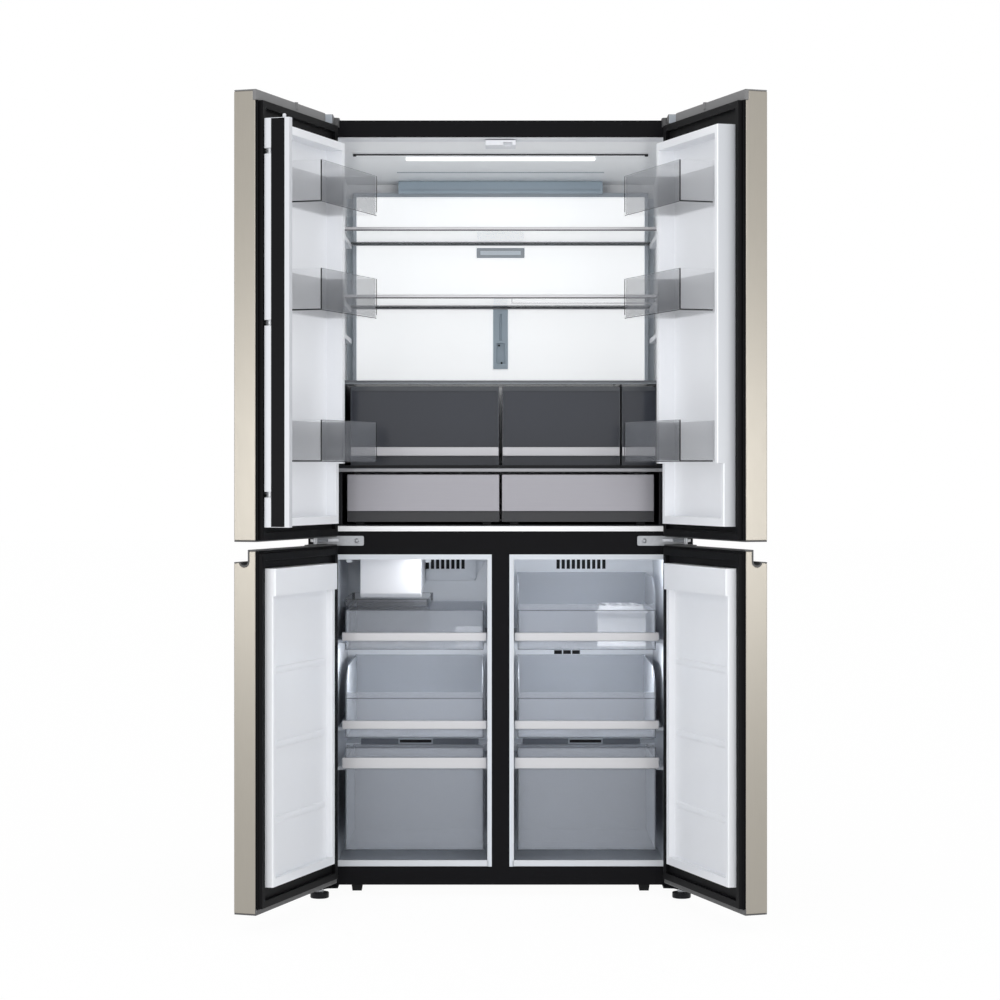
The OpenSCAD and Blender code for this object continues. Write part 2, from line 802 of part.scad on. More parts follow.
// Tubes with pressed-on fins, one pack behind each cover
module evaporators() {
    tube_r = 4;
    rows = 5;
    row_pitch = 30;
    pack_x0 = freezer_in + 30;
    pack_x1 = freezer_out - 30;
    pack_y = (cover_y + freezer_cover_t + inner_back) / 2;
    pack_z = step_z + 10;
    pack_h = rows * row_pitch;
    fin_pitch = (pack_x1 - pack_x0 - 18) / (fins - 1);
    color("#c9ccd0") placed() both_sides() {
        for (i = [0:rows - 1], side = [-1, 1])
            translate([pack_x0, pack_y + side * 14, pack_z + (i + 0.5) * row_pitch]) rotate([0, 90, 0])
                cylinder(r = tube_r, h = pack_x1 - pack_x0);
        for (i = [0:fins - 1])
            translate([pack_x0 + 8 + i * fin_pitch, 0, 0])
                block([0, pack_y - 28, pack_z], [2, pack_y + 28, pack_z + pack_h]);
        // end plates that stand on the liner's step
        for (x = [pack_x0 - 2, pack_x1])
            block([x, pack_y - 28, step_z + run_gap], [x + 2, inner_back - run_gap, pack_z + pack_h + 6]);
    }
}

// Blade wheel about the z axis, with its hub and a blind shaft bore
module fan_wheel(r, hub_r, hub_h) {
    blade_w = hub_r * 1.2;
    difference() {
        union() {
            cylinder(r = hub_r, h = hub_h);
            for (i = [0:blades - 1])
                rotate([0, 0, i * 360 / blades]) translate([hub_r - 2, 0, hub_h / 2]) rotate([28, 0, 0])
                    translate([0, -blade_w / 2, -0.8]) cube([r - hub_r + 2, blade_w, 1.6]);
        }
        translate([0, 0, -1]) cylinder(r = shaft_r + pin_gap, h = hub_h - 2);
    }
}

module freezer_fan() {
    color("#d8dade") placed()
        translate([air_fan_x, air_fan_y, air_fan_z]) rotate([-90, 0, 0]) fan_wheel(air_fan_r, 14, 16);
}

// Ice maker under the freezer ceiling on the left
module ice_maker() {
    back = cover_y - run_gap;
    color(liner_white) placed() difference() {
        across(maker_x0, maker_x1) polygon([[maker_y, maker_z + 10], [maker_y + 8, maker_z],
            [back, maker_z + 20], [back, freezer_top - run_gap], [maker_y, freezer_top - run_gap]]);
        // open underside where the cubes drop
        across(maker_x0 + 10, maker_x1 - 10) rect(maker_y + 40, back - 60, maker_z - 1, maker_z + 50);
    }
}

// Ledges on the freezer walls that carry the drawers
module freezer_rails() {
    ledge_h = 8;
    ledge_w = flange_w + 2;
    color(liner_white) placed() both_sides() for (rail = [[top_band_z, cover_y], [mid_band_z, cover_y],
        [low_band_z, step_y]]) {
        top = rail[0] + 2 - run_gap;
        back = rail[1] - run_gap;
        block([drawer_out - flange_w + 1, ledge_y, top - ledge_h], [freezer_out, back, top]);
        block([freezer_in, ledge_y, top - ledge_h], [drawer_in + flange_w - 1, back, top]);
    }
    // tabs on the left ceiling, in front of the ice maker
    color(liner_white) placed() for (x = [maker_x0 - 28, maker_x1 + 13])
        along(26, 38) soft_rect(x, x + 13, freezer_top - 8, freezer_top, 2);
}

// Side outline of a drawer, whose sides curve up or slope down behind the front
module drawer_outline(y1, z0, front_h, rise) {
    curve_y = 126;
    front_top = z0 + front_h;
    if (rise > 0)
        polygon(concat([[freezer_y, z0]],
            [for (i = [0:10]) [freezer_y + curve_y * (1 - cos(9 * i)), front_top + rise * sin(9 * i)]],
            [[y1, front_top + rise], [y1, z0]]));
    else
        polygon([[freezer_y, z0], [y1, z0], [y1, front_top + rise], [y1 - 60, front_top + rise],
            [freezer_y + 60, front_top], [freezer_y, front_top]]);
}

// Clear drawer of the right compartment, with its silver band and sliding flanges
module freezer_drawer(y1, z0, front_h, rise, band_z, band) {
    body_x0 = drawer_in + flange_w;
    body_x1 = drawer_out - flange_w;
    flange_h = 4;
    difference() {
        union() {
            across(body_x0, body_x1) drawer_outline(y1, z0, front_h, rise);
            along(freezer_y - 4, freezer_y + 8) soft_rect(drawer_in, drawer_out, band_z, band_z + band, 3);
            block([drawer_in, freezer_y + 4, band_z + 2], [drawer_out, y1 - 4, band_z + 2 + flange_h]);
        }
        block([body_x0 + clear_t, freezer_y + clear_t, z0 + clear_t],
            [body_x1 - clear_t, y1 - clear_t, z0 + front_h + max(rise, 0) + 1]);
    }
}

module top_drawer(rise) {
    freezer_drawer(drawer_back, top_drawer_z, top_drawer_h, rise, top_band_z, band_h);
}

module mid_drawer() {
    freezer_drawer(drawer_back, mid_drawer_z, mid_drawer_h, drawer_rise, mid_band_z, band_h);
}

module low_drawer() {
    freezer_drawer(low_back, low_drawer_z, low_drawer_h, -drawer_dip, low_band_z, low_band_h);
}

module freezer_top_left() {
    color(clear_grey) placed() mirrored() top_drawer(0);
}

module freezer_mid_left() {
    color(clear_grey) placed() mirrored() mid_drawer();
}

module freezer_low_left() {
    color(clear_grey) placed() mirrored() low_drawer();
}

module freezer_top_right() {
    color(clear_grey) placed() top_drawer(drawer_rise);
}

module freezer_mid_right() {
    color(clear_grey) placed() mid_drawer();
}

module freezer_low_right() {
    color(clear_grey) placed() low_drawer();
}

// Clear ice bucket that stands in the top left drawer, with its rim over the drawer's side
module ice_bucket() {
    floor_z = top_drawer_z + clear_t + run_gap;
    rim_z = maker_z - 21;
    rim_h = 19;
    x0 = -drawer_out + flange_w + 2 * clear_t;
    x1 = maker_x1 + 13;
    y0 = freezer_y + 54;
    y1 = drawer_back - 60;
    color(clear_grey) placed() difference() {
        union() {
            block([x0, y0, floor_z], [x1, y1, rim_z + 4]);
            upright(rim_z, rim_z + rim_h) soft_rect(x0 - 4 * clear_t, x1 + 8, y0 - 8, y1 + 8, 6);
        }
        block([x0 + clear_t, y0 + clear_t, floor_z + clear_t], [x1 - clear_t, y1 - clear_t, rim_z + 4]);
        upright(rim_z + 2, rim_z + rim_h + 1)
            soft_rect(x0 - 3 * clear_t, x1 + 8 - clear_t, y0 - 8 + clear_t, y1 + 8 - clear_t, 4);
    }
}

// Tapered clear scoop for the cubes, lying in the top left drawer
module ice_scoop() {
    floor_z = top_drawer_z + clear_t + run_gap;
    scoop_w = 65;
    scoop_l = 92;
    scoop_h = 41;
    taper = 8;
    wall = 2;
    x1 = -drawer_in - flange_w - clear_t - 3;
    x0 = x1 - scoop_w;
    y0 = freezer_y + 90;
    color(clear_grey) placed() {
        difference() {
            along(y0, y0 + scoop_l) polygon([[x0 + taper, floor_z], [x1 - taper, floor_z],
                [x1, floor_z + scoop_h], [x0, floor_z + scoop_h]]);
            along(y0 - 1, y0 + scoop_l - wall) polygon([[x0 + taper + wall, floor_z + wall],
                [x1 - taper - wall, floor_z + wall], [x1 - wall, floor_z + scoop_h + 1],
                [x0 + wall, floor_z + scoop_h + 1]]);
        }
        // handle behind the bowl
        block([(x0 + x1) / 2 - 10, y0 + scoop_l - 1, floor_z + scoop_h - 14],
            [(x0 + x1) / 2 + 10, y0 + scoop_l + 80, floor_z + scoop_h]);
    }
}

// Ice cube tray with its hanging cups, on its own clear box in the top right drawer
module ice_tray() {
    floor_z = top_drawer_z + clear_t + run_gap;
    box_w = 116;
    box_l = 172;
    box_h = 80;
    plate_t = 6;
    raised_t = 10;
    lip = 6;
    cup_x = 15;
    cup_y = 26;
    cup_h = 13;
    cup_wall = 1.5;
    cols = 3;
    rows = 4;
    x1 = drawer_out - flange_w - clear_t - 17;
    x0 = x1 - box_w;
    y0 = freezer_y + 78;
    plate_z = floor_z + box_h + run_gap;
    top_z = plate_z + plate_t + raised_t;
    pitch_x = 31;
    pitch_y = 38;
    cups = [for (i = [0:cols - 1], j = [0:rows - 1])
        [x0 + box_w / 2 + (i - (cols - 1) / 2) * pitch_x, y0 + box_l / 2 + (j - (rows - 1) / 2) * pitch_y]];
    color(clear_grey) placed() {
        difference() {
            block([x0, y0, floor_z], [x0 + box_w, y0 + box_l, floor_z + box_h]);
            block([x0 + clear_t, y0 + clear_t, floor_z + clear_t],
                [x0 + box_w - clear_t, y0 + box_l - clear_t, floor_z + box_h + 1]);
        }
        difference() {
            union() {
                upright(plate_z, plate_z + plate_t)
                    soft_rect(x0 - lip, x0 + box_w + lip, y0 - lip, y0 + box_l + lip, 6);
                block([x0 + 6, y0 + 6, plate_z], [x0 + box_w - 6, y0 + box_l - 6, top_z]);
                for (c = cups)
                    block([c[0] - cup_x / 2, c[1] - cup_y / 2, plate_z - cup_h],
                        [c[0] + cup_x / 2, c[1] + cup_y / 2, plate_z + 1]);
            }
            for (c = cups)
                block([c[0] - cup_x / 2 + cup_wall, c[1] - cup_y / 2 + cup_wall, plate_z - cup_h + cup_wall],
                    [c[0] + cup_x / 2 - cup_wall, c[1] + cup_y / 2 - cup_wall, top_z + 1]);
        }
    }
}

// Machine compartment

module base_pan() {
    side = cabinet_w / 2 - sheet_t;
    color("#8f9296") placed() difference() {
        union() {
            block([-side, machine_y, base_z], [side, cabinet_d - sheet_t - 0.5, base_z + pan_t]);
            // upturned sides against the outer sheet
            both_sides() block([side - pan_t, machine_y, base_z],
                [side, cabinet_d - sheet_t - 0.5, machine_top - run_gap]);
        }
        // cooling slots under the condenser
        for (i = [0:7])
            block([condenser_x0 + 20 + i * 28, machine_y + 40, base_z - 1],
                [condenser_x0 + 30 + i * 28, cabinet_d - 50, base_z + pan_t + 1]);
        both_sides() rear_foot_place() translate([0, 0, -1]) cylinder(r = stem_r + run_gap, h = 60);
    }
}

// Welded compressor shell on its base plate, with rubber mounts and pipe stubs
module compressor() {
    floor_z = base_z + pan_t;
    mount_h = 14;
    mount_r = 10;
    plate_x = compressor_r + 14;
    plate_y = compressor_r - 4;
    shell_z = floor_z + mount_h;
    color("#232325") placed() translate([compressor_x, machine_mid, 0]) {
        for (x = [14 - plate_x, plate_x - 14], y = [12 - plate_y, plate_y - 12])
            translate([x, y, floor_z]) cylinder(r = mount_r, h = mount_h);
        upright(shell_z, shell_z + 4) soft_rect(-plate_x, plate_x, -plate_y, plate_y, 12);
        translate([0, 0, shell_z + 4]) rotate_extrude($fn = 64) intersection() {
            rect(0, compressor_r, 0, compressor_h);
            union() {
                rect(0, compressor_r, 22, compressor_h - 30);
                translate([0, 22]) scale([compressor_r / 22, 1]) circle(22);
                translate([0, compressor_h - 30]) scale([compressor_r / 30, 1]) circle(30);
            }
        }
        // rolled seam round the middle
        translate([0, 0, shell_z + compressor_h / 2 + 3]) cylinder(r = compressor_r + 3, h = 5);
        translate([compressor_r - 4, -16, shell_z + 60]) rotate([0, 90, 0]) cylinder(r = 4, h = 22);
        translate([compressor_r - 4, 16, shell_z + 50]) rotate([0, 90, 0]) cylinder(r = 3, h = 22);
    }
}

// Evaporation tray on top of the compressor
module drip_tray() {
    tray_z = base_z + pan_t + 18 + compressor_h + run_gap;
    tray_x = compressor_r + 28;
    tray_y = compressor_r + 8;
    wall = 2;
    color("#c8ccd2") placed() translate([compressor_x, machine_mid, tray_z]) difference() {
        upright(0, 26) soft_rect(-tray_x, tray_x, -tray_y, tray_y, 12);
        upright(wall, 27) soft_rect(wall - tray_x, tray_x - wall, wall - tray_y, tray_y - wall, 10);
    }
}

// Fin and tube condenser with the fan's shroud and motor
module condenser() {
    pack_y0 = machine_y + 24;
    pack_y1 = cabinet_d - 24;
    pack_z0 = base_z + pan_t;
    rows = 5;
    row_pitch = 28;
    pack_h = rows * row_pitch;
    fin_pitch = (condenser_x1 - condenser_x0 - 6) / (fins - 1);
    motor_x = fan_x - 46;
    color("#9a9da1") placed() {
        for (i = [0:rows - 1], y = [machine_mid - 42, machine_mid, machine_mid + 42])
            translate([condenser_x0, y, pack_z0 + (i + 0.5) * row_pitch]) rotate([0, 90, 0])
                cylinder(r = 4, h = condenser_x1 - condenser_x0);
        for (i = [0:fins - 1])
            translate([condenser_x0 + 2 + i * fin_pitch, 0, 0])
                block([0, pack_y0, pack_z0], [2, pack_y1, pack_z0 + pack_h]);
        // shroud with the fan's round opening, on the fin pack's own end
        difference() {
            block([fan_x - 14, pack_y0, pack_z0], [fan_x + 22, pack_y1, pack_z0 + pack_h + 10]);
            translate([fan_x - 15, machine_mid, fan_z]) rotate([0, 90, 0]) cylinder(r = fan_r + 4, h = 40);
        }
        // motor on its stand, with the shaft
        translate([motor_x, machine_mid, fan_z]) rotate([0, 90, 0]) {
            cylinder(r = 20, h = fan_x - motor_x - fan_gap);
            cylinder(r = shaft_r, h = fan_x - motor_x + 10);
        }
        block([motor_x + 4, machine_mid - 8, pack_z0], [motor_x + 14, machine_mid + 8, fan_z]);
    }
}

module condenser_fan() {
    color("#2c2c2f") placed()
        translate([fan_x, machine_mid, fan_z]) rotate([0, 90, 0]) fan_wheel(fan_r, 18, 18);
}

// Water valve with its threaded inlet, reached through the rear cover
module water_valve() {
    stub = 30;
    body_y = cabinet_d - 62;
    color("#dfe3e8") placed() difference() {
        union() {
            block([valve_x - 18, body_y, base_z + pan_t], [valve_x + 18, body_y + 32, valve_z + 16]);
            translate([valve_x, cabinet_d - stub, valve_z]) rotate([-90, 0, 0])
                cylinder(r = inlet_r, h = stub);
            translate([valve_x, body_y + 16, valve_z + 16]) cylinder(r = 12, h = 34);
        }
        translate([valve_x, cabinet_d - stub + 6, valve_z]) rotate([-90, 0, 0]) cylinder(r = 6, h = stub);
    }
}

// Feet

module rear_foot_place() {
    translate([cabinet_w / 2 - 50, cabinet_d - 50, 0]) children();
}

// Levelling feet on threaded stems, and the skids behind the front ones
module feet() {
    skid_x = cabinet_w / 2 - 114;
    skid_y = 30;
    color(near_black) placed() both_sides() {
        for (place = [[foot_x, foot_y], [cabinet_w / 2 - 50, cabinet_d - 50]])
            translate([place[0], place[1], 0]) {
                rotate_extrude() polygon([[0, 0], [foot_r - 1, 0], [foot_r, 2], [foot_r, foot_h - 1],
                    [foot_r - 1, foot_h], [stem_r + 2, foot_h], [stem_r + 2, foot_h + 3], [0, foot_h + 3]]);
                cylinder(r = stem_r, h = lower_door_z - 3);
            }
        along(skid_y, skid_y + 26) polygon([[skid_x - 18, base_z], [skid_x + 18, base_z],
            [skid_x + 18, base_z - 4], [skid_x + 13, base_z - 5], [skid_x + 11, 4], [skid_x - 11, 4],
            [skid_x - 13, base_z - 5], [skid_x - 18, base_z - 4]]);
    }
}

// Hinges

// Plan outline of a hinge arm, from its round nose at the axis back to y1
module arm_outline(wide, y0, y1) {
    translate([hinge_x, hinge_y]) circle(hinge_nose);
    polygon([[hinge_x - hinge_nose, hinge_y], [hinge_x + hinge_nose, hinge_y], [hinge_x + 26, y0],
        [hinge_x + wide, y0 + 4], [hinge_x + wide, y1], [hinge_x - 16, y1], [hinge_x - 16, y0]]);
}

// Upright hinge pin on the axis
module hinge_pin(z0, z1) {
    translate([hinge_x, hinge_y, z0]) cylinder(r = pin_r, h = z1 - z0);
}

module top_hinges() {
    color("#c3c5c9") placed() both_sides() {
        upright(cabinet_h, cabinet_h + 3) arm_outline(46, -2, 60);
        hinge_pin(notch_z - bore_h + 2, cabinet_h + 1);
    }
}

// Moulded covers over the top hinges
module hinge_covers() {
    cover_top = cabinet_h + 5;
    skin = 1.4;
    low = notch_z + 2;
    color(cap_grey) placed() both_sides() difference() {
        upright(low, cover_top) {
            soft_rect(-cabinet_w / 2 + 1, hinge_x + 41, hinge_y - hinge_nose - 1, 4, 4);
            soft_rect(-cabinet_w / 2 + 1, hinge_x + 52, -11, 68, 10);
        }
        upright(low - 1, cover_top - skin) {
            soft_rect(-cabinet_w / 2 + 1 + skin, hinge_x + 41 - skin, hinge_y - hinge_nose - 0.6, 0, 3);
            soft_rect(-cabinet_w / 2 + 1 + skin, hinge_x + 52 - skin, -11 + skin, 68 - skin, 8);
        }
        block([-cabinet_w, -run_gap, low - 1], [0, cabinet_d, cabinet_h]);
    }
}

// Steel hinge between the tiers: face plate on the rail, arm and two pins
module mid_hinges() {
    arm_z = lower_door_top + 5;
    arm_t = tier_gap - 11;
    plate_z = rail_z + 21;
    color("#b9bbbf") placed() both_sides() {
        along(-3, 0) soft_rect(hinge_x - 8, hinge_x + 110, plate_z, plate_z + 23, 4);
        upright(arm_z, arm_z + arm_t) arm_outline(50, -12, -1);
        hinge_pin(lower_door_top - bore_h + 2, upper_door_z + bore_h - 2);
    }
}

// Black bottom hinge: plate under the door, flange on the cabinet and one pin
module bottom_hinges() {
    plate_t = 4;
    color(near_black) placed() both_sides() difference() {
        union() {
            upright(base_z - plate_t, base_z) arm_outline(50, -30, 60);
            along(-3, 0) soft_rect(hinge_x - 16, hinge_x + 50, base_z - plate_t, frame_bottom - 20, 2);
            hinge_pin(base_z - 1, lower_door_z + bore_h - 2);
        }
        translate([-foot_x, foot_y, 0]) cylinder(r = stem_r + run_gap, h = 60);
    }
}

// Doors, in their own frame: u across from the hinge side, w inwards from the inner face

module pin_bore(z0) {
    translate([hinge_in, hinge_w, z0]) cylinder(r = pin_r + pin_gap, h = bore_h + 1);
}

module door_slab(z0, z1) {
    upright(z0, z1) soft_rect(0, door_w, -door_t, 0, door_r);
}

module upper_door() {
    difference() {
        door_slab(upper_door_z, upper_door_top);
        block([-1, -door_t - 1, notch_z], [notch_w, 1, upper_door_top + 1]);
        pin_bore(notch_z - bore_h);
        pin_bore(upper_door_z - 1);
    }
}

// Lower door with the grip rebate and finger channel along its top
module lower_door() {
    grip_w = -door_t + grip_t;
    grip_z = lower_door_top - grip_h;
    difference() {
        door_slab(lower_door_z, lower_door_top);
        across(notch_w, door_w + 1) {
            rect(-door_t - 1, grip_w, grip_z, lower_door_top + 1);
            translate([grip_w - channel_h - 1, grip_z + 1]) circle(channel_h + 1);
        }
        pin_bore(lower_door_top - bore_h);
        pin_bore(lower_door_z - 1);
    }
}

// Outline (u, w) of a liner with drafted sides
module liner_outline(u0, u1, w1) {
    polygon([[u0, 0], [u1, 0], [u1 - draft, w1 - 2], [u1 - draft - 2, w1], [u0 + draft + 2, w1],
        [u0 + draft, w1 - 2]]);
}

// Outline of the pocket inside a liner's border
module pocket_outline(u0, u1, w1) {
    polygon([[u0 + dike_w + draft, panel_w], [u1 - dike_w - draft, panel_w], [u1 - dike_w, w1 + 1],
        [u0 + dike_w, w1 + 1]]);
}

module upper_liner() {
    split_z = crisper_z + 3;
    difference() {
        union() {
            upright(upper_liner_z0, split_z) liner_outline(liner_u, upper_liner_u1, pantry_dike);
            upright(split_z, upper_liner_z1) liner_outline(liner_u, upper_liner_u1, upper_dike);
        }
        upright(upper_liner_z0 + dike_w, upper_liner_z1 - dike_w)
            pocket_outline(liner_u, upper_liner_u1, upper_dike);
    }
}

// Lower liner with a thicker head and three ribs across its panel
module lower_liner() {
    rib_pitch = 165;
    head_z = lower_liner_z1 - head_h;
    difference() {
        union() {
            upright(lower_liner_z0, lower_liner_z1) liner_outline(liner_u, lower_liner_u1, lower_dike);
            upright(head_z, lower_liner_z1) liner_outline(liner_u, lower_liner_u1, lower_dike + head_extra);
        }
        upright(lower_liner_z0 + dike_w, head_z)
            pocket_outline(liner_u, lower_liner_u1, lower_dike);
    }
    for (i = [1:3])
        translate([0, panel_w, head_z - i * rib_pitch])
            across(liner_u + dike_w + 20, lower_liner_u1 - dike_w - 20) scale([0.5, 1]) circle(8);
}

// Gasket: flat flange round the liner, with the magnetic bead on it
module gasket(z0, z1, liner_u1, liner_z0, liner_z1, bead_free, bead_z0, bead_z1) {
    fit = run_gap;
    along(0, flange_t) difference() {
        rect(flange_in, door_w - flange_in, z0, z1);
        rect(liner_u - fit, liner_u1 + fit, liner_z0 - fit, liner_z1 + fit);
    }
    along(0, seal_gap - run_gap) ring(bead_u, door_w - bead_free, bead_z0, bead_z1, bead_w);
}

module upper_gasket() {
    top = upper_door_top - cap_h;
    gasket(upper_door_z + flange_in, top, upper_liner_u1, upper_liner_z0, upper_liner_z1,
        door_gap / 2 + 7, upper_door_z + 4, top);
}

module lower_gasket() {
    bottom = lower_door_z + lower_cap_h;
    gasket(bottom - 2, lower_door_top - flange_in, lower_liner_u1, lower_liner_z0, lower_liner_z1,
        door_gap / 2 + 3, bottom, rail_z + 18);
}

// Clear door bin that reaches into the liner's pocket and stands on its floor lip
module door_bin(z0) {
    u0 = liner_u + 2;
    u1 = upper_liner_u1 - dike_w - 8;
    back_u0 = liner_u + dike_w + draft + run_gap;
    back_u1 = upper_liner_u1 - dike_w - draft - run_gap;
    wide_w = upper_dike + run_gap;
    back_w = panel_w + run_gap;
    difference() {
        union() {
            upright(z0, z0 + bin_h) soft_rect(u0, u1, wide_w, bin_reach, 6);
            upright(z0, z0 + bin_h) rect(back_u0, back_u1, back_w, wide_w + 10);
        }
        upright(z0 + clear_t, z0 + bin_h + 1) {
            soft_rect(u0 + clear_t, u1 - clear_t, wide_w + clear_t, bin_reach - clear_t, 4);
            rect(back_u0 + clear_t, u1 - clear_t, back_w + clear_t, wide_w + 12);
        }
        // moulded arch low on the front
        translate([(u0 + u1) / 2, 0, z0 + 8]) along(bin_reach - 1, bin_reach + 1) {
            rect(-16, 16, 0, 16);
            translate([0, 16]) circle(16);
        }
    }
}

module door_bins() {
    for (z = [bin_z1, bin_z2, bin_z3]) door_bin(z);
}

// Knuckle arm on the liner's free side, with its pin
module knuckle(z) {
    upright(z - knuckle_h / 2, z + knuckle_h / 2) {
        rect(upper_liner_u1 - draft - 4, pivot_u, pivot_w - 4, pivot_w + 4);
        translate([pivot_u, pivot_w]) circle(4);
    }
    translate([pivot_u, pivot_w, z - knuckle_h / 2 - 10]) cylinder(r = knuckle_pin_r, h = knuckle_h + 20);
}

// Bar that swings out as the left door closes, drawn where it lies with the door closed
module mullion_bar() {
    arm_room = pivot_u + 10;
    difference() {
        upright(bar_z0, bar_top) intersection() {
            rect(bar_u0, bar_u0 + bar_w, bar_w0, bar_w0 + bar_t);
            union() {
                translate([pivot_u, pivot_w]) circle(bar_pivot_r);
                rect(pivot_u, bar_u0 + bar_w, bar_w0, bar_w0 + bar_t);
            }
        }
        for (z = knuckles)
            upright(z - knuckle_h / 2 - run_gap, z + knuckle_h / 2 + run_gap)
                rect(bar_u0 - 1, arm_room, bar_w0 - 1, bar_w0 + bar_t + 1);
        for (z = knuckles)
            translate([pivot_u, pivot_w, z - knuckle_h / 2 - 11])
                cylinder(r = knuckle_pin_r + pin_gap, h = knuckle_h + 22);
    }
    // guide pin on the top end
    translate([nub_u, bar_w0 + bar_t / 2, bar_top + run_gap]) {
        cylinder(r = nub_r, h = 6.5);
        translate([0, 0, 6.5]) cylinder(r1 = nub_r, r2 = nub_r - 1.5, h = 2);
    }
}

module upper_left_door() {
    color(warm_steel) on_left_door() upper_door();
}

module upper_right_door() {
    color(warm_steel) on_right_door() upper_door();
}

module lower_left_door() {
    color(warm_steel) on_left_door() lower_door();
}

module lower_right_door() {
    color(warm_steel) on_right_door() lower_door();
}

module upper_left_liner() {
    color(liner_white) on_left_door() {
        upper_liner();
        for (z = knuckles) knuckle(z);
    }
}

module upper_right_liner() {
    color(liner_white) on_right_door() upper_liner();
}

module lower_left_liner() {
    color(liner_white) on_left_door() lower_liner();
}

module lower_right_liner() {
    color(liner_white) on_right_door() lower_liner();
}

module upper_left_gasket() {
    color(near_black) on_left_door() upper_gasket();
}

module upper_right_gasket() {
    color(near_black) on_right_door() upper_gasket();
}

module lower_left_gasket() {
    color(near_black) on_left_door() lower_gasket();
}

module lower_right_gasket() {
    color(near_black) on_right_door() lower_gasket();
}

module left_door_bins() {
    color(smoke_grey) on_left_door() door_bins();
}

module right_door_bins() {
    color(smoke_grey) on_right_door() door_bins();
}

// The bar lies folded against the liner's side while the door is open
module folding_mullion() {
    color(near_black) on_left_door()
        translate([pivot_u, pivot_w, 0]) rotate([0, 0, 90]) translate([-pivot_u, -pivot_w, 0]) mullion_bar();
}

case();
insulation();
fridge_liner();
freezer_liners();
front_frame();
rear_cover();
air_duct();
ceiling_lamp();
mullion_guide();
glass_shelves();
shelf_trims();
shelf_supports();
centre_rail();
crisper_cover();
drawer_frame();
freezer_duct_covers();
evaporators();
ice_maker();
freezer_rails();
compressor();
condenser();
drip_tray();
base_pan();
feet();
top_hinges();
hinge_covers();
mid_hinges();
bottom_hinges();
water_valve();
freezer_fan();
condenser_fan();
upper_left_door();
upper_left_liner();
upper_left_gasket();
left_door_bins();
folding_mullion();
upper_right_door();
upper_right_liner();
upper_right_gasket();
right_door_bins();
lower_left_door();
lower_left_liner();
lower_left_gasket();
lower_right_door();
lower_right_liner();
lower_right_gasket();
left_crisper();
right_crisper();
narrow_crisper();
left_pantry_drawer();
right_pantry_drawer();
freezer_top_left();
freezer_mid_left();
freezer_low_left();
freezer_top_right();
freezer_mid_right();
freezer_low_right();
ice_bucket();
ice_scoop();
ice_tray();
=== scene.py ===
import math

import bpy
from mathutils import Matrix, Vector


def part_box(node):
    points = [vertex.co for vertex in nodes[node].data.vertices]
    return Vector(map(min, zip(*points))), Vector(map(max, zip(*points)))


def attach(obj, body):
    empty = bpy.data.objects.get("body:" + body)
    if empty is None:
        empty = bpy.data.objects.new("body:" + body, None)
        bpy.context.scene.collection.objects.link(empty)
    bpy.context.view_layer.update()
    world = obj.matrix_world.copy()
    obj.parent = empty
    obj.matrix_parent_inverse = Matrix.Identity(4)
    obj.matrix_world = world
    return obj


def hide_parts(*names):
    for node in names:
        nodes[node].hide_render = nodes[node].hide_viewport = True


# Four-door kitchen-fit fridge-freezer, dressed over its CAD frame
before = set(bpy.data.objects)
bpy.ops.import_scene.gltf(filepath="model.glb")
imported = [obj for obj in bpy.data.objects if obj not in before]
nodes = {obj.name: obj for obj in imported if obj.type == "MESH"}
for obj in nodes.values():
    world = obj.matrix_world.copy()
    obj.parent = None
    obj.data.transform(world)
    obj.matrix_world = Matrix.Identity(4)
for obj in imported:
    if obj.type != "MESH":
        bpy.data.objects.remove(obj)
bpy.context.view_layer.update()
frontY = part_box("front_frame")[0].y  # the cabinet's front plane
scene = bpy.context.scene
sides = (("left", -1), ("right", 1))
print("frame loaded:", len(nodes), "nodes")


# Small helpers


def mm(value):
    return value / 1000


def clearSelection():
    if bpy.context.mode != "OBJECT":
        bpy.ops.object.mode_set(mode="OBJECT")
    bpy.ops.object.select_all(action="DESELECT")


def pick(piece):
    clearSelection()
    piece.select_set(True)
    bpy.context.view_layer.objects.active = piece


def applyPlace(piece):
    pick(piece)
    bpy.ops.object.transform_apply(location=True, rotation=True, scale=True)


def applyModifiers(piece):
    pick(piece)
    for modifier in list(piece.modifiers):
        bpy.ops.object.modifier_apply(modifier=modifier.name)


def smoothBy(piece, angle=35):
    pick(piece)
    bpy.ops.object.shade_smooth_by_angle(angle=math.radians(angle))


def roundEdges(piece, width, steps=3, angle=30):
    bevel = piece.modifiers.new("rounded", "BEVEL")
    bevel.width = mm(width)
    bevel.segments = steps
    bevel.limit_method = "ANGLE"
    bevel.angle_limit = math.radians(angle)
    bevel.miter_outer = "MITER_ARC"
    applyModifiers(piece)
    smoothBy(piece)
    return piece


def addBlock(name, low, high, rounding=1.0, steps=3):
    # low and high are corners in mm, behind the cabinet's front plane
    clearSelection()
    size = [mm(b - a) for a, b in zip(low, high)]
    middle = [mm(a + b) / 2 for a, b in zip(low, high)]
    bpy.ops.mesh.primitive_cube_add(size=1, location=middle, scale=size)
    piece = bpy.context.object
    piece.name = name
    applyPlace(piece)
    if rounding:
        roundEdges(piece, rounding, steps)
    return piece


def addRod(name, start, end, radius, sides=24, rounding=0):
    # round rod between two points in mm
    clearSelection()
    a, b = Vector(start) / 1000, Vector(end) / 1000
    turn = (b - a).to_track_quat("Z", "Y").to_euler()
    bpy.ops.mesh.primitive_cylinder_add(vertices=sides, radius=mm(radius), depth=(b - a).length,
                                        location=(a + b) / 2, rotation=turn)
    piece = bpy.context.object
    piece.name = name
    applyPlace(piece)
    if rounding:
        roundEdges(piece, rounding, 2)
    else:
        smoothBy(piece)
    return piece


meshClean = {"merge": 0.00001, "levelFaces": 1, "anyQuad": 100}  # metres, degrees, degrees


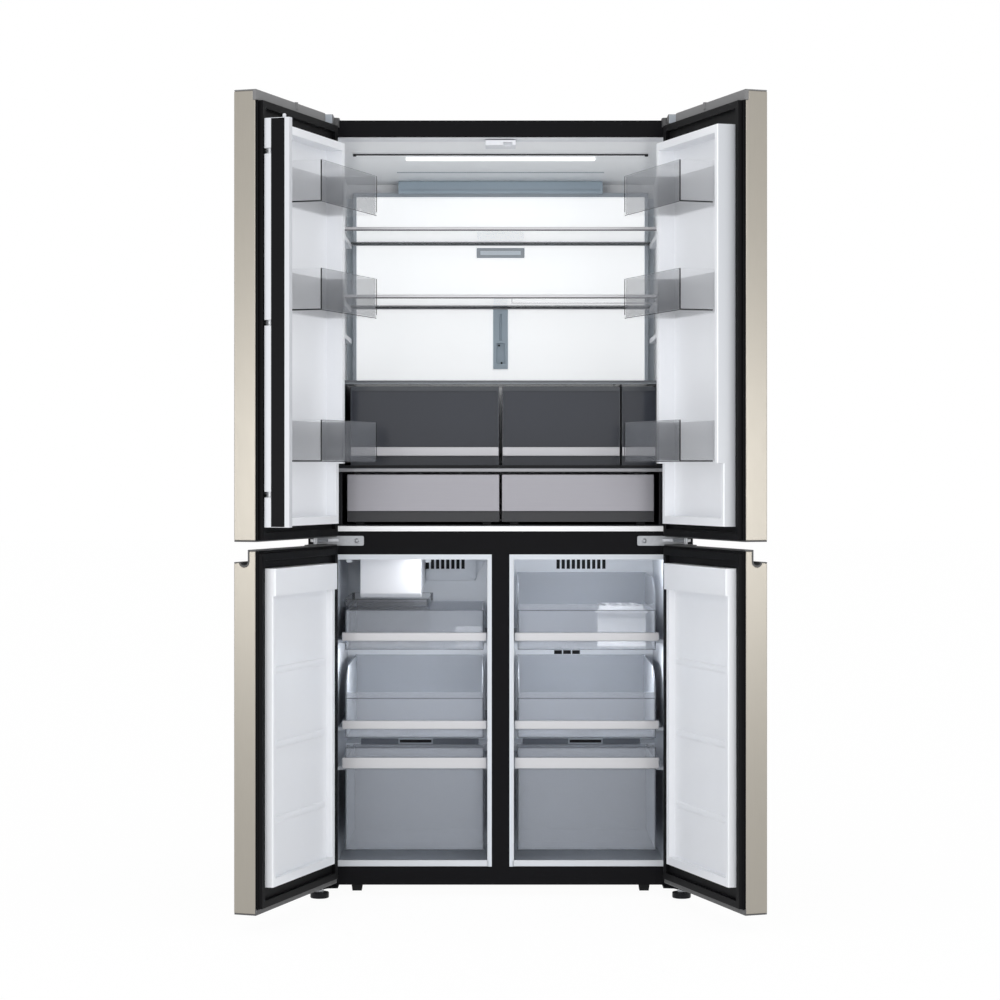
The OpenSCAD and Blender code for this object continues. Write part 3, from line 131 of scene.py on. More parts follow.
def selectAll():
    # opens the active piece for editing with all of it selected
    bpy.ops.object.mode_set(mode="EDIT")
    bpy.ops.mesh.select_all(action="SELECT")


def faceOut():
    # turns the open piece's faces outwards and closes it
    bpy.ops.mesh.select_all(action="SELECT")
    bpy.ops.mesh.normals_make_consistent(inside=False)
    bpy.ops.object.mode_set(mode="OBJECT")


def readyFaces():
    # face selection, with nothing selected yet
    bpy.ops.object.mode_set(mode="EDIT")
    bpy.ops.mesh.select_mode(type="FACE")
    bpy.ops.mesh.select_all(action="DESELECT")
    bpy.ops.object.mode_set(mode="OBJECT")


def addProfile(name, points, start, length):
    # closed outline whose points are (x, y, z) in mm, pushed along the vector length
    clearSelection()
    bpy.ops.mesh.primitive_circle_add(vertices=len(points), radius=1, fill_type="NGON")
    piece = bpy.context.object
    piece.name = name
    for vertex, point in zip(piece.data.vertices, points):
        vertex.co = (Vector(point) + Vector(start)) / 1000
    selectAll()
    bpy.ops.mesh.extrude_region_move(TRANSFORM_OT_translate={"value": Vector(length) / 1000})
    faceOut()
    return piece


def copyNode(node, name, rounding=0.0, steps=2, flat=0.0):
    # merged copy of a CAD node with softened edges; flat joins faces that lie within that angle
    piece = bpy.data.objects.new(name, nodes[node].data.copy())
    scene.collection.objects.link(piece)
    pick(piece)
    selectAll()
    bpy.ops.mesh.remove_doubles(threshold=meshClean["merge"])
    if flat:
        bpy.ops.mesh.dissolve_limited(angle_limit=math.radians(flat))
    else:
        bpy.ops.mesh.tris_convert_to_quads(face_threshold=math.radians(meshClean["levelFaces"]),
                                           shape_threshold=math.radians(meshClean["anyQuad"]))
    bpy.ops.object.mode_set(mode="OBJECT")
    if rounding:
        roundEdges(piece, rounding, steps)
    else:
        smoothBy(piece)
    return piece


def combine(piece, other, operation):
    # one exact boolean, which uses the other piece up
    step = piece.modifiers.new("combined", "BOOLEAN")
    step.operation = operation
    step.solver = "EXACT"
    step.object = other
    applyModifiers(piece)
    bpy.data.objects.remove(other)
    return piece


def cutOut(piece, low, high):
    # opening cut through a piece, corners in mm as in addBlock
    combine(piece, addBlock("cutter", low, high, 0), "DIFFERENCE")
    smoothBy(piece)


# the insets are shares of the radius, the moves shares of the height
screwHead = {"topFacing": 0.9, "rim": 0.3, "raised": 0.25, "slope": 0.22, "sunk": 0.7}


def addScrew(name, place, aim, radius, height):
    # pan head with a sunk drive, facing along aim; place is the middle of its underside in mm
    start, aim = Vector(place), Vector(aim)
    piece = addRod(name, start, start + aim * height, radius)
    pick(piece)
    readyFaces()
    for face in piece.data.polygons:
        face.select = face.normal.dot(aim) > screwHead["topFacing"]
    bpy.ops.object.mode_set(mode="EDIT")
    bpy.ops.mesh.inset(thickness=mm(radius * screwHead["rim"]))
    bpy.ops.transform.translate(value=aim * mm(height * screwHead["raised"]))
    bpy.ops.mesh.inset(thickness=mm(radius * screwHead["slope"]))
    bpy.ops.transform.translate(value=-aim * mm(height * screwHead["sunk"]))
    bpy.ops.object.mode_set(mode="OBJECT")
    smoothBy(piece, 30)
    return piece


def joinAll(name, parts):
    clearSelection()
    for part in parts:
        part.select_set(True)
    bpy.context.view_layer.objects.active = parts[0]
    if len(parts) > 1:
        bpy.ops.object.join()
    parts[0].name = name
    return parts[0]


def twin(piece, name):
    # copy mirrored to the other side, with its normals put right
    other = bpy.data.objects.new(name, piece.data.copy())
    scene.collection.objects.link(other)
    other.scale.x = -1
    applyPlace(other)
    bpy.ops.object.mode_set(mode="EDIT")
    faceOut()
    return other


def span(across, inwards, up):
    # a block's two corners from its (left, right), (front, back) and (low, high)
    return list(zip(across, inwards, up))


def middleSpan(half, inwards, up):
    return span((-half, half), inwards, up)


def sideSpan(side, across, inwards, up):
    # side is -1 or 1, and across gives distances from the middle
    return span(sorted(side * x for x in across), inwards, up)


def toCabinet(piece):
    # from the front plane to the frame's own origin
    piece.location.y = frontY
    applyPlace(piece)
    return piece


doorSwing = {"hingeX": 434, "hingeY": 57, "hingeIn": 22, "hingeDepth": 45, "openAngle": 109}


def toOpenDoor(piece):
    # from the closed left door (across, inwards, up) to where it stands open
    place = doorSwing
    piece.matrix_world = (Matrix.Translation((-mm(place["hingeX"]), frontY - mm(place["hingeY"]), 0))
                          @ Matrix.Rotation(-math.radians(place["openAngle"]), 4, "Z")
                          @ Matrix.Translation((-mm(place["hingeIn"]), mm(place["hingeDepth"]), 0)))
    applyPlace(piece)
    return piece


def dress(piece, material, body, slot, *replaced):
    # flat faces keep flat shading beside their rounded edges
    level = piece.modifiers.new("evenShading", "WEIGHTED_NORMAL")
    level.keep_sharp = True
    applyModifiers(piece)
    piece.data.materials.clear()
    piece.data.materials.append(material)
    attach(piece, body)
    if replaced:
        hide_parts(*replaced)
    return piece


def dressCopy(node, name, material, body, slot, rounding=0.6, steps=2):
    # a CAD node's softened copy, which takes its place
    return dress(copyNode(node, name, rounding, steps), material, body, slot, node)


def dressBlock(name, corners, rounding, material, slot="white_liner", body="cabinet"):
    return dress(toCabinet(addBlock(name, *corners, rounding)), material, body, slot)


# Camera

cameraView = {"lens": 87.83, "sensor": 36, "distance": 5784, "height": 1001.4, "sideways": -1.4,
              "shiftDown": -0.02795, "farthest": 60}

clearSelection()
bpy.ops.object.camera_add(
    location=(mm(cameraView["sideways"]), frontY - mm(cameraView["distance"]), mm(cameraView["height"])),
    rotation=(math.radians(90), 0, 0))
camera = bpy.context.object
camera.data.lens = cameraView["lens"]
camera.data.sensor_width = cameraView["sensor"]
camera.data.shift_y = cameraView["shiftDown"]
camera.data.clip_end = cameraView["farthest"]
scene.camera = camera
scene.view_settings.view_transform = "Standard"


# Materials


def hexColour(text):
    # sRGB hex to the linear colour that the shaders take
    values = [int(text[i:i + 2], 16) / 255 for i in (1, 3, 5)]
    return [v / 12.92 if v <= 0.04045 else ((v + 0.055) / 1.055) ** 2.4 for v in values] + [1.0]


def addNode(tree, kind, settings=None, links=None):
    node = tree.nodes.new(kind)
    for key, value in (settings or {}).items():
        if isinstance(key, int) or key in node.inputs:
            node.inputs[key].default_value = value
        else:
            setattr(node, key, value)
    for key, source in (links or {}).items():
        tree.links.new(source, node.inputs[key])
    return node


def freshMaterial(name):
    material = bpy.data.materials.new(name)
    material.use_nodes = True
    material.node_tree.nodes.clear()
    return material, material.node_tree


def finishWith(tree, shader):
    addNode(tree, "ShaderNodeOutputMaterial", links={"Surface": shader.outputs[0]})


grainLook = {"detail": 3.0, "bumpStrength": 0.6, "low": 0.3, "high": 0.7, "darkest": 0.55, "palest": 1.25}


def noiseOver(tree, scale, detail):
    # noise that stays with the piece; scale is how often it repeats in a metre, along each axis
    place = addNode(tree, "ShaderNodeTexCoord")
    fit = addNode(tree, "ShaderNodeMapping", {"Scale": scale}, {"Vector": place.outputs["Object"]})
    noise = addNode(tree, "ShaderNodeTexNoise", {"Scale": 1.0, "Detail": detail}, {"Vector": fit.outputs[0]})
    return noise.outputs[0]


def raiseBy(tree, shader, noise, height, strength):
    bump = addNode(tree, "ShaderNodeBump", {"Distance": mm(height), "Strength": strength}, {"Height": noise})
    tree.links.new(bump.outputs[0], shader.inputs["Normal"])


def rangeOf(tree, noise, low, high):
    # the noise's middle part spread from low to high
    spread = addNode(tree, "ShaderNodeMapRange", {"From Min": grainLook["low"], "From Max": grainLook["high"],
                                                  "To Min": low, "To Max": high}, {"Value": noise})
    return spread.outputs[0]


def surface(name, colour, rough, metal=0.0, bumpSize=None, bumpDepth=0.0, stretch=(1, 1, 1), mottle=0.0,
            roughSpread=0.0, extra=None):
    # opaque finish: bumpSize is the real grain size in mm, bumpDepth its height in mm, mottle and roughSpread
    # how much the grain changes colour and roughness
    material, tree = freshMaterial(name)
    shader = addNode(tree, "ShaderNodeBsdfPrincipled",
                     {"Base Color": hexColour(colour), "Roughness": rough, "Metallic": metal, **(extra or {})})
    if bumpSize:
        noise = noiseOver(tree, [1000 / bumpSize * s for s in stretch], grainLook["detail"])
        if bumpDepth:
            raiseBy(tree, shader, noise, bumpDepth, grainLook["bumpStrength"])
        if mottle:
            # sockets 6 and 7 of a colour mix are its two colours, output 2 is the result
            shade = addNode(tree, "ShaderNodeMix", {"data_type": "RGBA", "blend_type": "MULTIPLY",
                                                    "Factor": mottle, 6: hexColour(colour)})
            tone = rangeOf(tree, noise, grainLook["darkest"], grainLook["palest"])
            tree.links.new(tone, shade.inputs[7])
            tree.links.new(shade.outputs[2], shader.inputs["Base Color"])
        if roughSpread:
            rougher = rangeOf(tree, noise, rough - roughSpread, rough + roughSpread)
            tree.links.new(rougher, shader.inputs["Roughness"])
    finishWith(tree, shader)
    return material


# acrylic and its like; the wave's height in mm
clearLook = {"ior": 1.49, "detail": 1.0, "waveHeight": 0.8, "bumpStrength": 0.3}


def seeThrough(name, colour, alpha, rough, waveSize=60):
    # clear moulding: thin, glossy, faintly uneven over waveSize mm as injection moulded plastic is
    material, tree = freshMaterial(name)
    shader = addNode(tree, "ShaderNodeBsdfPrincipled",
                     {"Base Color": hexColour(colour), "Roughness": rough, "Alpha": alpha,
                      "IOR": clearLook["ior"]})
    noise = noiseOver(tree, [1000 / waveSize] * 3, clearLook["detail"])
    raiseBy(tree, shader, noise, clearLook["waveHeight"], clearLook["bumpStrength"])
    finishWith(tree, shader)
    return material


def glowing(name, strength):
    # opal white plastic that glows: the lamp's diffuser, lit from behind, and the back panel, whose glow is
    # painted light
    material, tree = freshMaterial(name)
    shader = addNode(tree, "ShaderNodeBsdfPrincipled",
                     {"Base Color": hexColour("#f4f6f8"), "Roughness": 0.3,
                      "Emission Color": hexColour("#ffffff"), "Emission Strength": strength})
    finishWith(tree, shader)
    return material


# grain sizes and depths in mm that several finishes share
formedSheet = {"bumpSize": 45, "bumpDepth": 0.25}
fineGrain = {"bumpSize": 0.8, "bumpDepth": 0.008}
softGrain = {"bumpSize": 0.7, "bumpDepth": 0.02}
sparkGrain = {"bumpSize": 0.7, "bumpDepth": 0.03}
drawnGrain = {"bumpSize": 0.7, "bumpDepth": 0.006, "stretch": (0.02, 1, 1)}
# Stainless steel with a warm tint, fine brushed upwards: soft vertical streaks in the reflections
doorSteel = surface("warmBrushedSteel", "#a39e95", 0.36, 1.0, bumpSize=0.9, bumpDepth=0.008,
                    stretch=(1, 1, 0.02), mottle=0.06, roughSpread=0.04)
# Stainless steel brushed sideways: the pantry fronts
drawerSteel = surface("sidewaysBrushedSteel", "#9b9aa0", 0.42, 0.9, bumpSize=0.9, bumpDepth=0.01,
                      stretch=(0.02, 1, 1), mottle=0.08, roughSpread=0.05)
# Anodised aluminium trim: matt silver with a fine drawn grain, on rails and drawer fronts, then darker on the
# crispers' handles and darkest on the drawer housing's top edge
trimSilver = surface("anodisedAluminium", "#c9c9cc", 0.42, 0.7, **drawnGrain, mottle=0.06)
handleSilver = surface("anodisedHandle", "#b9b9bd", 0.42, 0.7, **drawnGrain)
deckSilver = surface("anodisedDeckTrim", "#96979b", 0.42, 0.7, **drawnGrain)
# Powder coated steel: near black, satin, a faint orange peel
blackFrame = surface("blackPowderCoat", "#0e0e11", 0.42, bumpSize=1.6, bumpDepth=0.02, roughSpread=0.05,
                     extra={"Specular IOR Level": 0.08})
# Painted outer sheet: warm grey with a fine texture
casePaint = surface("greyPaintedSheet", "#6b6a69", 0.42, 0.1, bumpSize=1.2, bumpDepth=0.02, roughSpread=0.06)
# Vacuum formed polystyrene: glossy white with a slow waviness; the lower doors' linings, the upper ones, a
# little paler with painted light, and a greyer copy that paints shade along the outer side of the upper ones
linerWhite = surface("vacuumFormedWhite", "#eaecf0", 0.28, **formedSheet)
litUpperWhite = surface("vacuumFormedUpperWhite", "#f3f5f9", 0.28, **formedSheet)
shadedSideWhite = surface("vacuumFormedPaintedShadeSideWhite", "#c2c5ca", 0.3, **formedSheet)
# The fridge's own lining: the same sheet painted paler, painted light from the glowing panel
litFridgeWhite = surface("vacuumFormedPaintedLitWhite", "#fafbfd", 0.28, **formedSheet)
# The same sheet in the freezer, a little cooler and greyer: painted shade
shadedFreezerWhite = surface("vacuumFormedPaintedShadeWhite", "#d5dae1", 0.3, **formedSheet)
# Injection moulded white ABS: even satin gloss; then the freezer's borders, the folding bar and the drawers'
# inner walls, each painted greyer: painted shade
whiteAbs = surface("mouldedWhiteAbs", "#e3e5ea", 0.32, **fineGrain)
shadedSillAbs = surface("mouldedShadedSillAbs", "#d6d9de", 0.36, **fineGrain)
shadedMullionAbs = surface("mouldedShadedMullionAbs", "#cdcfd4", 0.36, **fineGrain)
shadedPaleWall = surface("mouldedShadedPaleWall", "#c3c9d1", 0.35, **fineGrain)
# Injection moulded grey ABS with a spark eroded grain: caps and panel flanges; the duct's blue grey and the
# corner grooves' tint are painted shade
greyAbs = surface("mouldedGreyAbs", "#737374", 0.48, **sparkGrain)
paleGreyAbs = surface("mouldedPaleGreyAbs", "#a9b0b8", 0.4, **softGrain)
shadedDuctAbs = surface("mouldedShadedBlueGreyAbs", "#aab9c5", 0.4, **softGrain)
grooveShadeAbs = surface("paintedGrooveShadeGrey", "#dbe4eb", 0.5, **softGrain)
# Dark moulded ABS: drawer housing and feet, pantry tubs, rail undersides, door caps
darkAbs = surface("mouldedDarkAbs", "#17181b", 0.42, **sparkGrain, extra={"Specular IOR Level": 0.15})
gripAbs = surface("mouldedGripAbs", "#2e2f33", 0.42, **sparkGrain)
stripAbs = surface("mouldedStripAbs", "#3a3a3e", 0.42, **sparkGrain)
capDark = surface("mouldedCapGrey", "#4b4b4c", 0.45, **sparkGrain)
# Magnetic gasket, soft extruded vinyl: dull black with fine lengthwise drag
gasketVinyl = surface("extrudedVinyl", "#0c0c0e", 0.55, bumpSize=1.5, bumpDepth=0.03,
                      extra={"Specular IOR Level": 0.1})
# Zinc plated pressed steel: hinges
zincSteel = surface("zincPlatedSteel", "#a2a4a8", 0.36, 0.95, bumpSize=6, bumpDepth=0.02, mottle=0.15)
# Galvanised sheet with its spangle
spangleSteel = surface("galvanisedSheet", "#9a9da0", 0.4, 0.9, bumpSize=12, bumpDepth=0.02, mottle=0.3)
# Mill finish aluminium tube and fin
coilAluminium = surface("millAluminium", "#c2c5c9", 0.35, 1.0, bumpSize=2, bumpDepth=0.01, mottle=0.15)
# Black stoved enamel on the compressor
compressorEnamel = surface("blackEnamel", "#1a1a1c", 0.22, bumpSize=2.5, bumpDepth=0.03)
# Rigid foam, seen only if the sheet is taken off
foamYellow = surface("rigidFoam", "#d9cc9c", 0.9, bumpSize=1.5, bumpDepth=0.3, mottle=0.2)
# Clear styrene-acrylonitrile: the bins, and their fronts, edges and rims, which look darker along the wall
clearPlastic = seeThrough("clearBinPlastic", "#c9ccd2", 0.07, 0.08)
frontTint = seeThrough("tintedBinFront", "#6b6f77", 0.2, 0.08)
edgePlastic = seeThrough("binEdges", "#0f1013", 0.92, 0.12)
rimPlastic = seeThrough("binRims", "#5d6067", 0.7, 0.12)
# The same, lightly frosted: freezer drawers with their edges, the cube tray and the scoop
frostedPlastic = seeThrough("clearDrawerPlastic", "#b4bac4", 0.34, 0.12)
frostedEdge = seeThrough("drawerEdges", "#565c66", 0.75, 0.12)
trayPlastic = seeThrough("frostedTrayPlastic", "#e6e9ee", 0.6, 0.15)
# Smoked plastic: the crispers, nearly opaque, and their solid front edges
smokePlastic = seeThrough("smokedPlastic", "#3b3e46", 0.94, 0.1)
smokeEdge = surface("smokedPlasticEdge", "#41454b", 0.25, bumpSize=0.8, bumpDepth=0.005)
# Toughened float glass, flat over 400 mm: almost colourless, and printed grey behind over the drawers
shelfGlass = seeThrough("toughenedGlass", "#dfe6e6", 0.16, 0.03, 400)
coverGlass = seeThrough("backPrintedGlass", "#9aa0a6", 0.75, 0.05, 400)
# Back panel whose glow is painted light, and the lamp itself
paintedGlowPanel = glowing("paintedGlowWhitePanel", 0.43)
lampCover = glowing("lampDiffuser", 1.05)
# Dark blue grey polypropylene round the freezer's return openings
returnGrey = surface("mouldedReturnGrey", "#686d76", 0.45, **softGrain)
# Painted steel strip: the shelves' back rails and the front edge of the crispers' cover
backTrim = surface("paintedBackTrim", "#5c6065", 0.4, bumpSize=0.9, bumpDepth=0.01)
# Matt black: screw heads and the shelves' back seams, and painted shade inside slots and grooves
slotDark = surface("darkRecess", "#0e0f11", 0.7, bumpSize=3, bumpDepth=0.05)
print("materials made:", len(bpy.data.materials))

# Finishes of the CAD nodes; those that a softened copy replaces further on have one too

nodeFinish = {
    "case rear_cover": casePaint, "insulation": foamYellow, "fridge_liner": litFridgeWhite,
    "freezer_liners freezer_duct_covers freezer_rails": shadedFreezerWhite, "front_frame bottom_hinges": blackFrame,
    "air_duct": paintedGlowPanel, "ceiling_lamp": lampCover, "glass_shelves": shelfGlass, "shelf_trims": trimSilver,
    "mullion_guide shelf_supports ice_maker ice_scoop water_valve freezer_fan folding_mullion": whiteAbs,
    "centre_rail": paleGreyAbs, "crisper_cover": coverGlass, "drawer_frame feet condenser_fan": darkAbs,
    "evaporators condenser": coilAluminium, "compressor": compressorEnamel, "base_pan": spangleSteel,
    "drip_tray hinge_covers": greyAbs, "top_hinges mid_hinges": zincSteel,
    "left_door_bins right_door_bins ice_bucket ice_tray": clearPlastic,
    "left_crisper right_crisper narrow_crisper": smokePlastic,
    "left_pantry_drawer right_pantry_drawer": drawerSteel,
}
for side, _ in sides:
    nodeFinish |= {f"upper_{side}_door lower_{side}_door": doorSteel,
                   f"upper_{side}_liner lower_{side}_liner": linerWhite,
                   f"upper_{side}_gasket lower_{side}_gasket": gasketVinyl,
                   f"freezer_top_{side} freezer_mid_{side} freezer_low_{side}": frostedPlastic}
for names, material in nodeFinish.items():
    for node in names.split():
        nodes[node].data.materials.clear()
        nodes[node].data.materials.append(material)
print("CAD nodes dressed:", len(" ".join(nodeFinish).split()))

# Floor and studio

studio = {"floorSize": 60, "floorColour": "#fdfdfd", "floorShare": 0.96, "worldStrength": 0.92}
# metres from the middle, from the front plane and from the floor; sizes in metres and power in watts
softboxes = {
    "frontBox": {"place": (1.9, -5.2, 1.5), "aim": (0, 0.2, 0.95), "size": (1.8, 1.6), "power": 29},
    "sideBox": {"place": (2.2, -2.5, 0.93), "aim": (0.5, -0.4, 0.93), "size": (0.9, 0.8), "power": 7.5},
}
# height, distance from the middle, length and power of each side's two strips
freezerStrip = {"inwards": 0.052, "aimInwards": 0.33, "aimDrop": 0.16, "width": 0.012,
                "left": ((0.79, 0.12, 0.13, 0.3), (0.565, 0.209, 0.30, 0.8)),
                "right": ((0.79, 0.209, 0.30, 0.8), (0.565, 0.209, 0.30, 0.8))}


def seenShare(tree):
    # 1 to the camera, gloss and glass, 0 to the light that falls on the object
    ray = addNode(tree, "ShaderNodeLightPath")
    seen = addNode(tree, "ShaderNodeMath", {"operation": "MAXIMUM"},
                   {0: ray.outputs["Is Camera Ray"], 1: ray.outputs["Is Glossy Ray"]})
    through = addNode(tree, "ShaderNodeMath", {"operation": "MAXIMUM"},
                      {0: seen.outputs[0], 1: ray.outputs["Is Transmission Ray"]})
    return through.outputs[0]


def paleStage(name):
    # nearly plain white as the camera, gloss and glass see it, darker only where the object shades it
    material, tree = freshMaterial(name)
    share = addNode(tree, "ShaderNodeMath", {"operation": "MULTIPLY", 1: studio["floorShare"]},
                    {0: seenShare(tree)})
    matt = addNode(tree, "ShaderNodeBsdfDiffuse", {"Color": hexColour(studio["floorColour"])})
    white = addNode(tree, "ShaderNodeEmission", {"Color": [1, 1, 1, 1], "Strength": 1.0})
    mix = addNode(tree, "ShaderNodeMixShader",
                  links={0: share.outputs[0], 1: matt.outputs[0], 2: white.outputs[0]})
    finishWith(tree, mix)
    return material


clearSelection()
bpy.ops.mesh.primitive_plane_add(size=studio["floorSize"], location=(0, 0, 0))
floor = bpy.context.object
floor.name = "studioFloor"
floor.data.materials.append(paleStage("paleFloor"))

world = scene.world or bpy.data.worlds.new("studio")
scene.world = world
world.use_nodes = True
tree = world.node_tree
tree.nodes.clear()
shine = addNode(tree, "ShaderNodeMapRange", {"To Min": studio["worldStrength"], "To Max": 1.0},
                {"Value": seenShare(tree)})
sky = addNode(tree, "ShaderNodeBackground", {"Color": [1, 1, 1, 1]}, {"Strength": shine.outputs[0]})
addNode(tree, "ShaderNodeOutputWorld", links={"Surface": sky.outputs[0]})


def addSoftbox(name, place, aim, size, power):
    clearSelection()
    turn = (Vector(aim) - Vector(place)).to_track_quat("-Z", "Y").to_euler()
    bpy.ops.object.light_add(type="AREA", location=place, rotation=turn)
    lamp = bpy.context.object
    lamp.name = name
    lamp.data.shape = "RECTANGLE"
    lamp.data.size, lamp.data.size_y = size
    lamp.data.energy = power
    return lamp


# Broad boxes from a little to each side of the camera fill the open compartments; small ones further out shade
# the steel edges from bright at mid height to darker at their ends
for edge, side in sides:
    letter = edge[0].upper()
    for name, box in softboxes.items():
        place, aim = ((side * x, frontY + y, z) for x, y, z in (box["place"], box["aim"]))
        addSoftbox(name + letter, place, aim, box["size"], box["power"])
    # small strips light the freezer compartments from their own ceilings, clear of the ice maker
    for height, across, length, power in freezerStrip[edge]:
        place = (side * across, frontY + freezerStrip["inwards"], height)
        aim = (side * across, frontY + freezerStrip["aimInwards"], height - freezerStrip["aimDrop"])
        strip = addSoftbox(f"freezerLamp{letter}{height}", place, aim, (length, freezerStrip["width"]), power)
        strip.visible_glossy = False
print("studio ready")

# Doors: a steel wrap, moulded caps and a black inner frame, modelled closed and swung open

doorFit = {"steelBack": -2, "capIn": 0.4, "capLap": 0.5, "frameIn": 1.2, "frameFace": -3, "lap": 5,
           "cornerAngle": 60}
upperDoor = {"width": 453, "thick": 53, "bottom": 849, "top": 1835, "cap": 23.5, "capEdge": 3, "foot": 3,
             "notchWidth": 70, "notchFloor": 1816, "notchLap": 1, "fold": -8, "skirt": -9, "skirtDrop": 1,
             "capGap": 0.2, "peg": (235, -1.5), "pegRadius": 5, "pegLow": 15, "pegHigh": 1.5, "steelRound": 2.0}
lowerDoor = {"width": 453, "thick": 53, "bottom": 36, "top": 832, "foot": 3, "footGap": 0.2, "bottomCap": 14,
             "skin": 3, "gripDepth": 27, "gripThick": 33, "channel": 9, "channelRise": 1, "channelFrom": 186,
             "channelTurn": 21.75, "channelPoints": 9, "gripFrom": 70, "capBehind": 0.5, "sideIn": 0.3,
             "endWidth": 1.5, "endDepth": 8, "skirtRise": 1, "steelRound": 1.9}


def hangPair(pattern, piece, material, body, slot, *replaced):
    # swings a closed left door's piece open, mirrors it and dresses both; {} stands for the side
    other = twin(toOpenDoor(piece), pattern.format("right"))
    piece.name = pattern.format("left")
    for one, side in ((piece, "left"), (other, "right")):
        smoothBy(one)
        dress(one, material, body.format(side), slot, *[node.format(side) for node in replaced])


def doorSet(tier, steel, cap, capMaterial, foot, inner):
    # both doors of a tier; their steel takes the place of the CAD doors
    body = tier + "_{}_door"
    hangPair(tier + "_{}_steel", steel, doorSteel, body, "door_steel", body)
    hangPair(tier + "_{}_cap", cap, capMaterial, body, "grey_plastic")
    hangPair(tier + "_{}_foot", foot, capDark, body, "grey_plastic")
    hangPair(tier + "_{}_frame", inner, blackFrame, body, "black_frame")


def wrapSteel(door, outline, start, sideWidth, sideTop):
    # the sheet's outline (inwards, up) from start to the far edge, fused with a plain length at the hinge
    body = addProfile("steelWrap", [(0, *point) for point in outline], (start, 0, 0),
                      (door["width"] - start, 0, 0))
    hingeSide = addBlock("wrapSide", (0, -door["thick"], door["bottom"] + door["foot"]),
                         (sideWidth, doorFit["steelBack"], sideTop), 0)
    return roundEdges(combine(body, hingeSide, "UNION"), door["steelRound"], 3, doorFit["cornerAngle"])


door = upperDoor
face, back, inset, lap = -door["thick"], doorFit["steelBack"], doorFit["capIn"], doorFit["capLap"]
far = door["width"] - inset
low, top, notch = door["bottom"] + door["foot"], door["top"], door["notchWidth"]
capLow, edgeLow = top - door["cap"], top - door["capEdge"]
steel = wrapSteel(door, [(back, low), (face, low), (face, edgeLow), (door["fold"], edgeLow),
                         (door["fold"], capLow), (back, capLow)],
                  notch, notch + doorFit["lap"], capLow)
capStart = notch + door["capGap"]
cap = joinAll("topCap", [
    addBlock("capTop", (capStart, face + inset, edgeLow), (far, -door["capGap"], top), 1.2),
    addBlock("capSkirt", (capStart, door["skirt"], capLow), (far, 0, top - door["skirtDrop"]), 1.0),
    addBlock("capNotch", (inset, face + inset, capLow), (notch + door["notchLap"], 0, door["notchFloor"]), 0.8),
    addRod("stopPeg", (*door["peg"], top - door["pegLow"]), (*door["peg"], top + door["pegHigh"]),
           door["pegRadius"], 20, 1.0)])
foot = addBlock("footCap", (inset, face + inset, door["bottom"]), (far, -inset, low + lap), 1.2)
inner = addBlock("innerFrame", (doorFit["frameIn"], doorFit["frameFace"], low),
                 (door["width"] - doorFit["frameIn"], 0, capLow), 0.8)
doorSet("upper", steel, cap, greyAbs, foot, inner)


def gripOutline(door, skin):
    # side outline (inwards, up) of the lower door's top, with the grip rebate and finger channel
    top = door["top"] - skin
    lip = door["top"] - door["gripDepth"] - skin
    wall = -door["thick"] + door["gripThick"]
    middle, radius = wall - door["channel"], door["channel"] + skin
    points = [(-door["thick"], lip)]
    for step in range(door["channelPoints"]):
        angle = math.radians(door["channelFrom"] + step * door["channelTurn"])
        points.append((middle + radius * math.cos(angle),
                       lip + door["channelRise"] + skin + radius * math.sin(angle)))
    return points + [(wall + skin, top), (0, top)]


door = lowerDoor
low, top, start = door["bottom"] + door["foot"], door["top"], door["gripFrom"]
steelTop = top - door["skin"]
inside, outside = gripOutline(door, door["skin"]), gripOutline(door, 0)
steel = wrapSteel(door, [(back, low), (face, low), *inside[:-1], (back, steelTop)],
                  start - doorFit["lap"], start, steelTop)
# the cap stays a little behind the steel's face
capOutline = [(0, max(y, face + door["capBehind"]), z) for y, z in outside + inside[::-1]]
endLow = top - door["gripDepth"] - door["endDepth"]
cap = joinAll("gripCap", [
    addProfile("gripCap", capOutline, (start, 0, 0), (far - start, 0, 0)),
    addBlock("capSide", (door["sideIn"], face + door["sideIn"], steelTop), (start + lap, 0, top), 0.8),
    addBlock("capEnd", (start - door["endWidth"], face + door["sideIn"], endLow),
             (start + lap, face + door["gripThick"], top), 0.5)])
footTop = door["bottom"] + door["bottomCap"]
foot = joinAll("foot", [
    addBlock("footCap", (inset, face + inset, door["bottom"]), (far, -door["footGap"], low + lap), 1.2),
    addBlock("footSkirt", (inset, doorFit["frameFace"], door["bottom"] + door["skirtRise"]),
             (far, 0, footTop), 0.8)])
inner = addBlock("innerFrame", (doorFit["frameIn"], doorFit["frameFace"], footTop),
                 (door["width"] - doorFit["frameIn"], 0, steelTop), 0.8)
doorSet("lower", steel, cap, capDark, foot, inner)
print("doors made")

# Liners, gaskets, bins and the folding mullion

# the upper doors' linings take the paler sheet, which carries painted light
for tier, lining in (("upper", litUpperWhite), ("lower", linerWhite)):
    for side, _ in sides:
        name, body = f"{tier}_{side}", f"{tier}_{side}_door"
        dressCopy(name + "_liner", name + "_formedLiner", lining, body, "white_liner", 1.8, 3)
        dressCopy(name + "_gasket", name + "_softGasket", gasketVinyl, body, "gasket_rubber", 1.4, 3)


sideFacing = {"proud": 0.3, "within": 5, "alignment": 0.98}


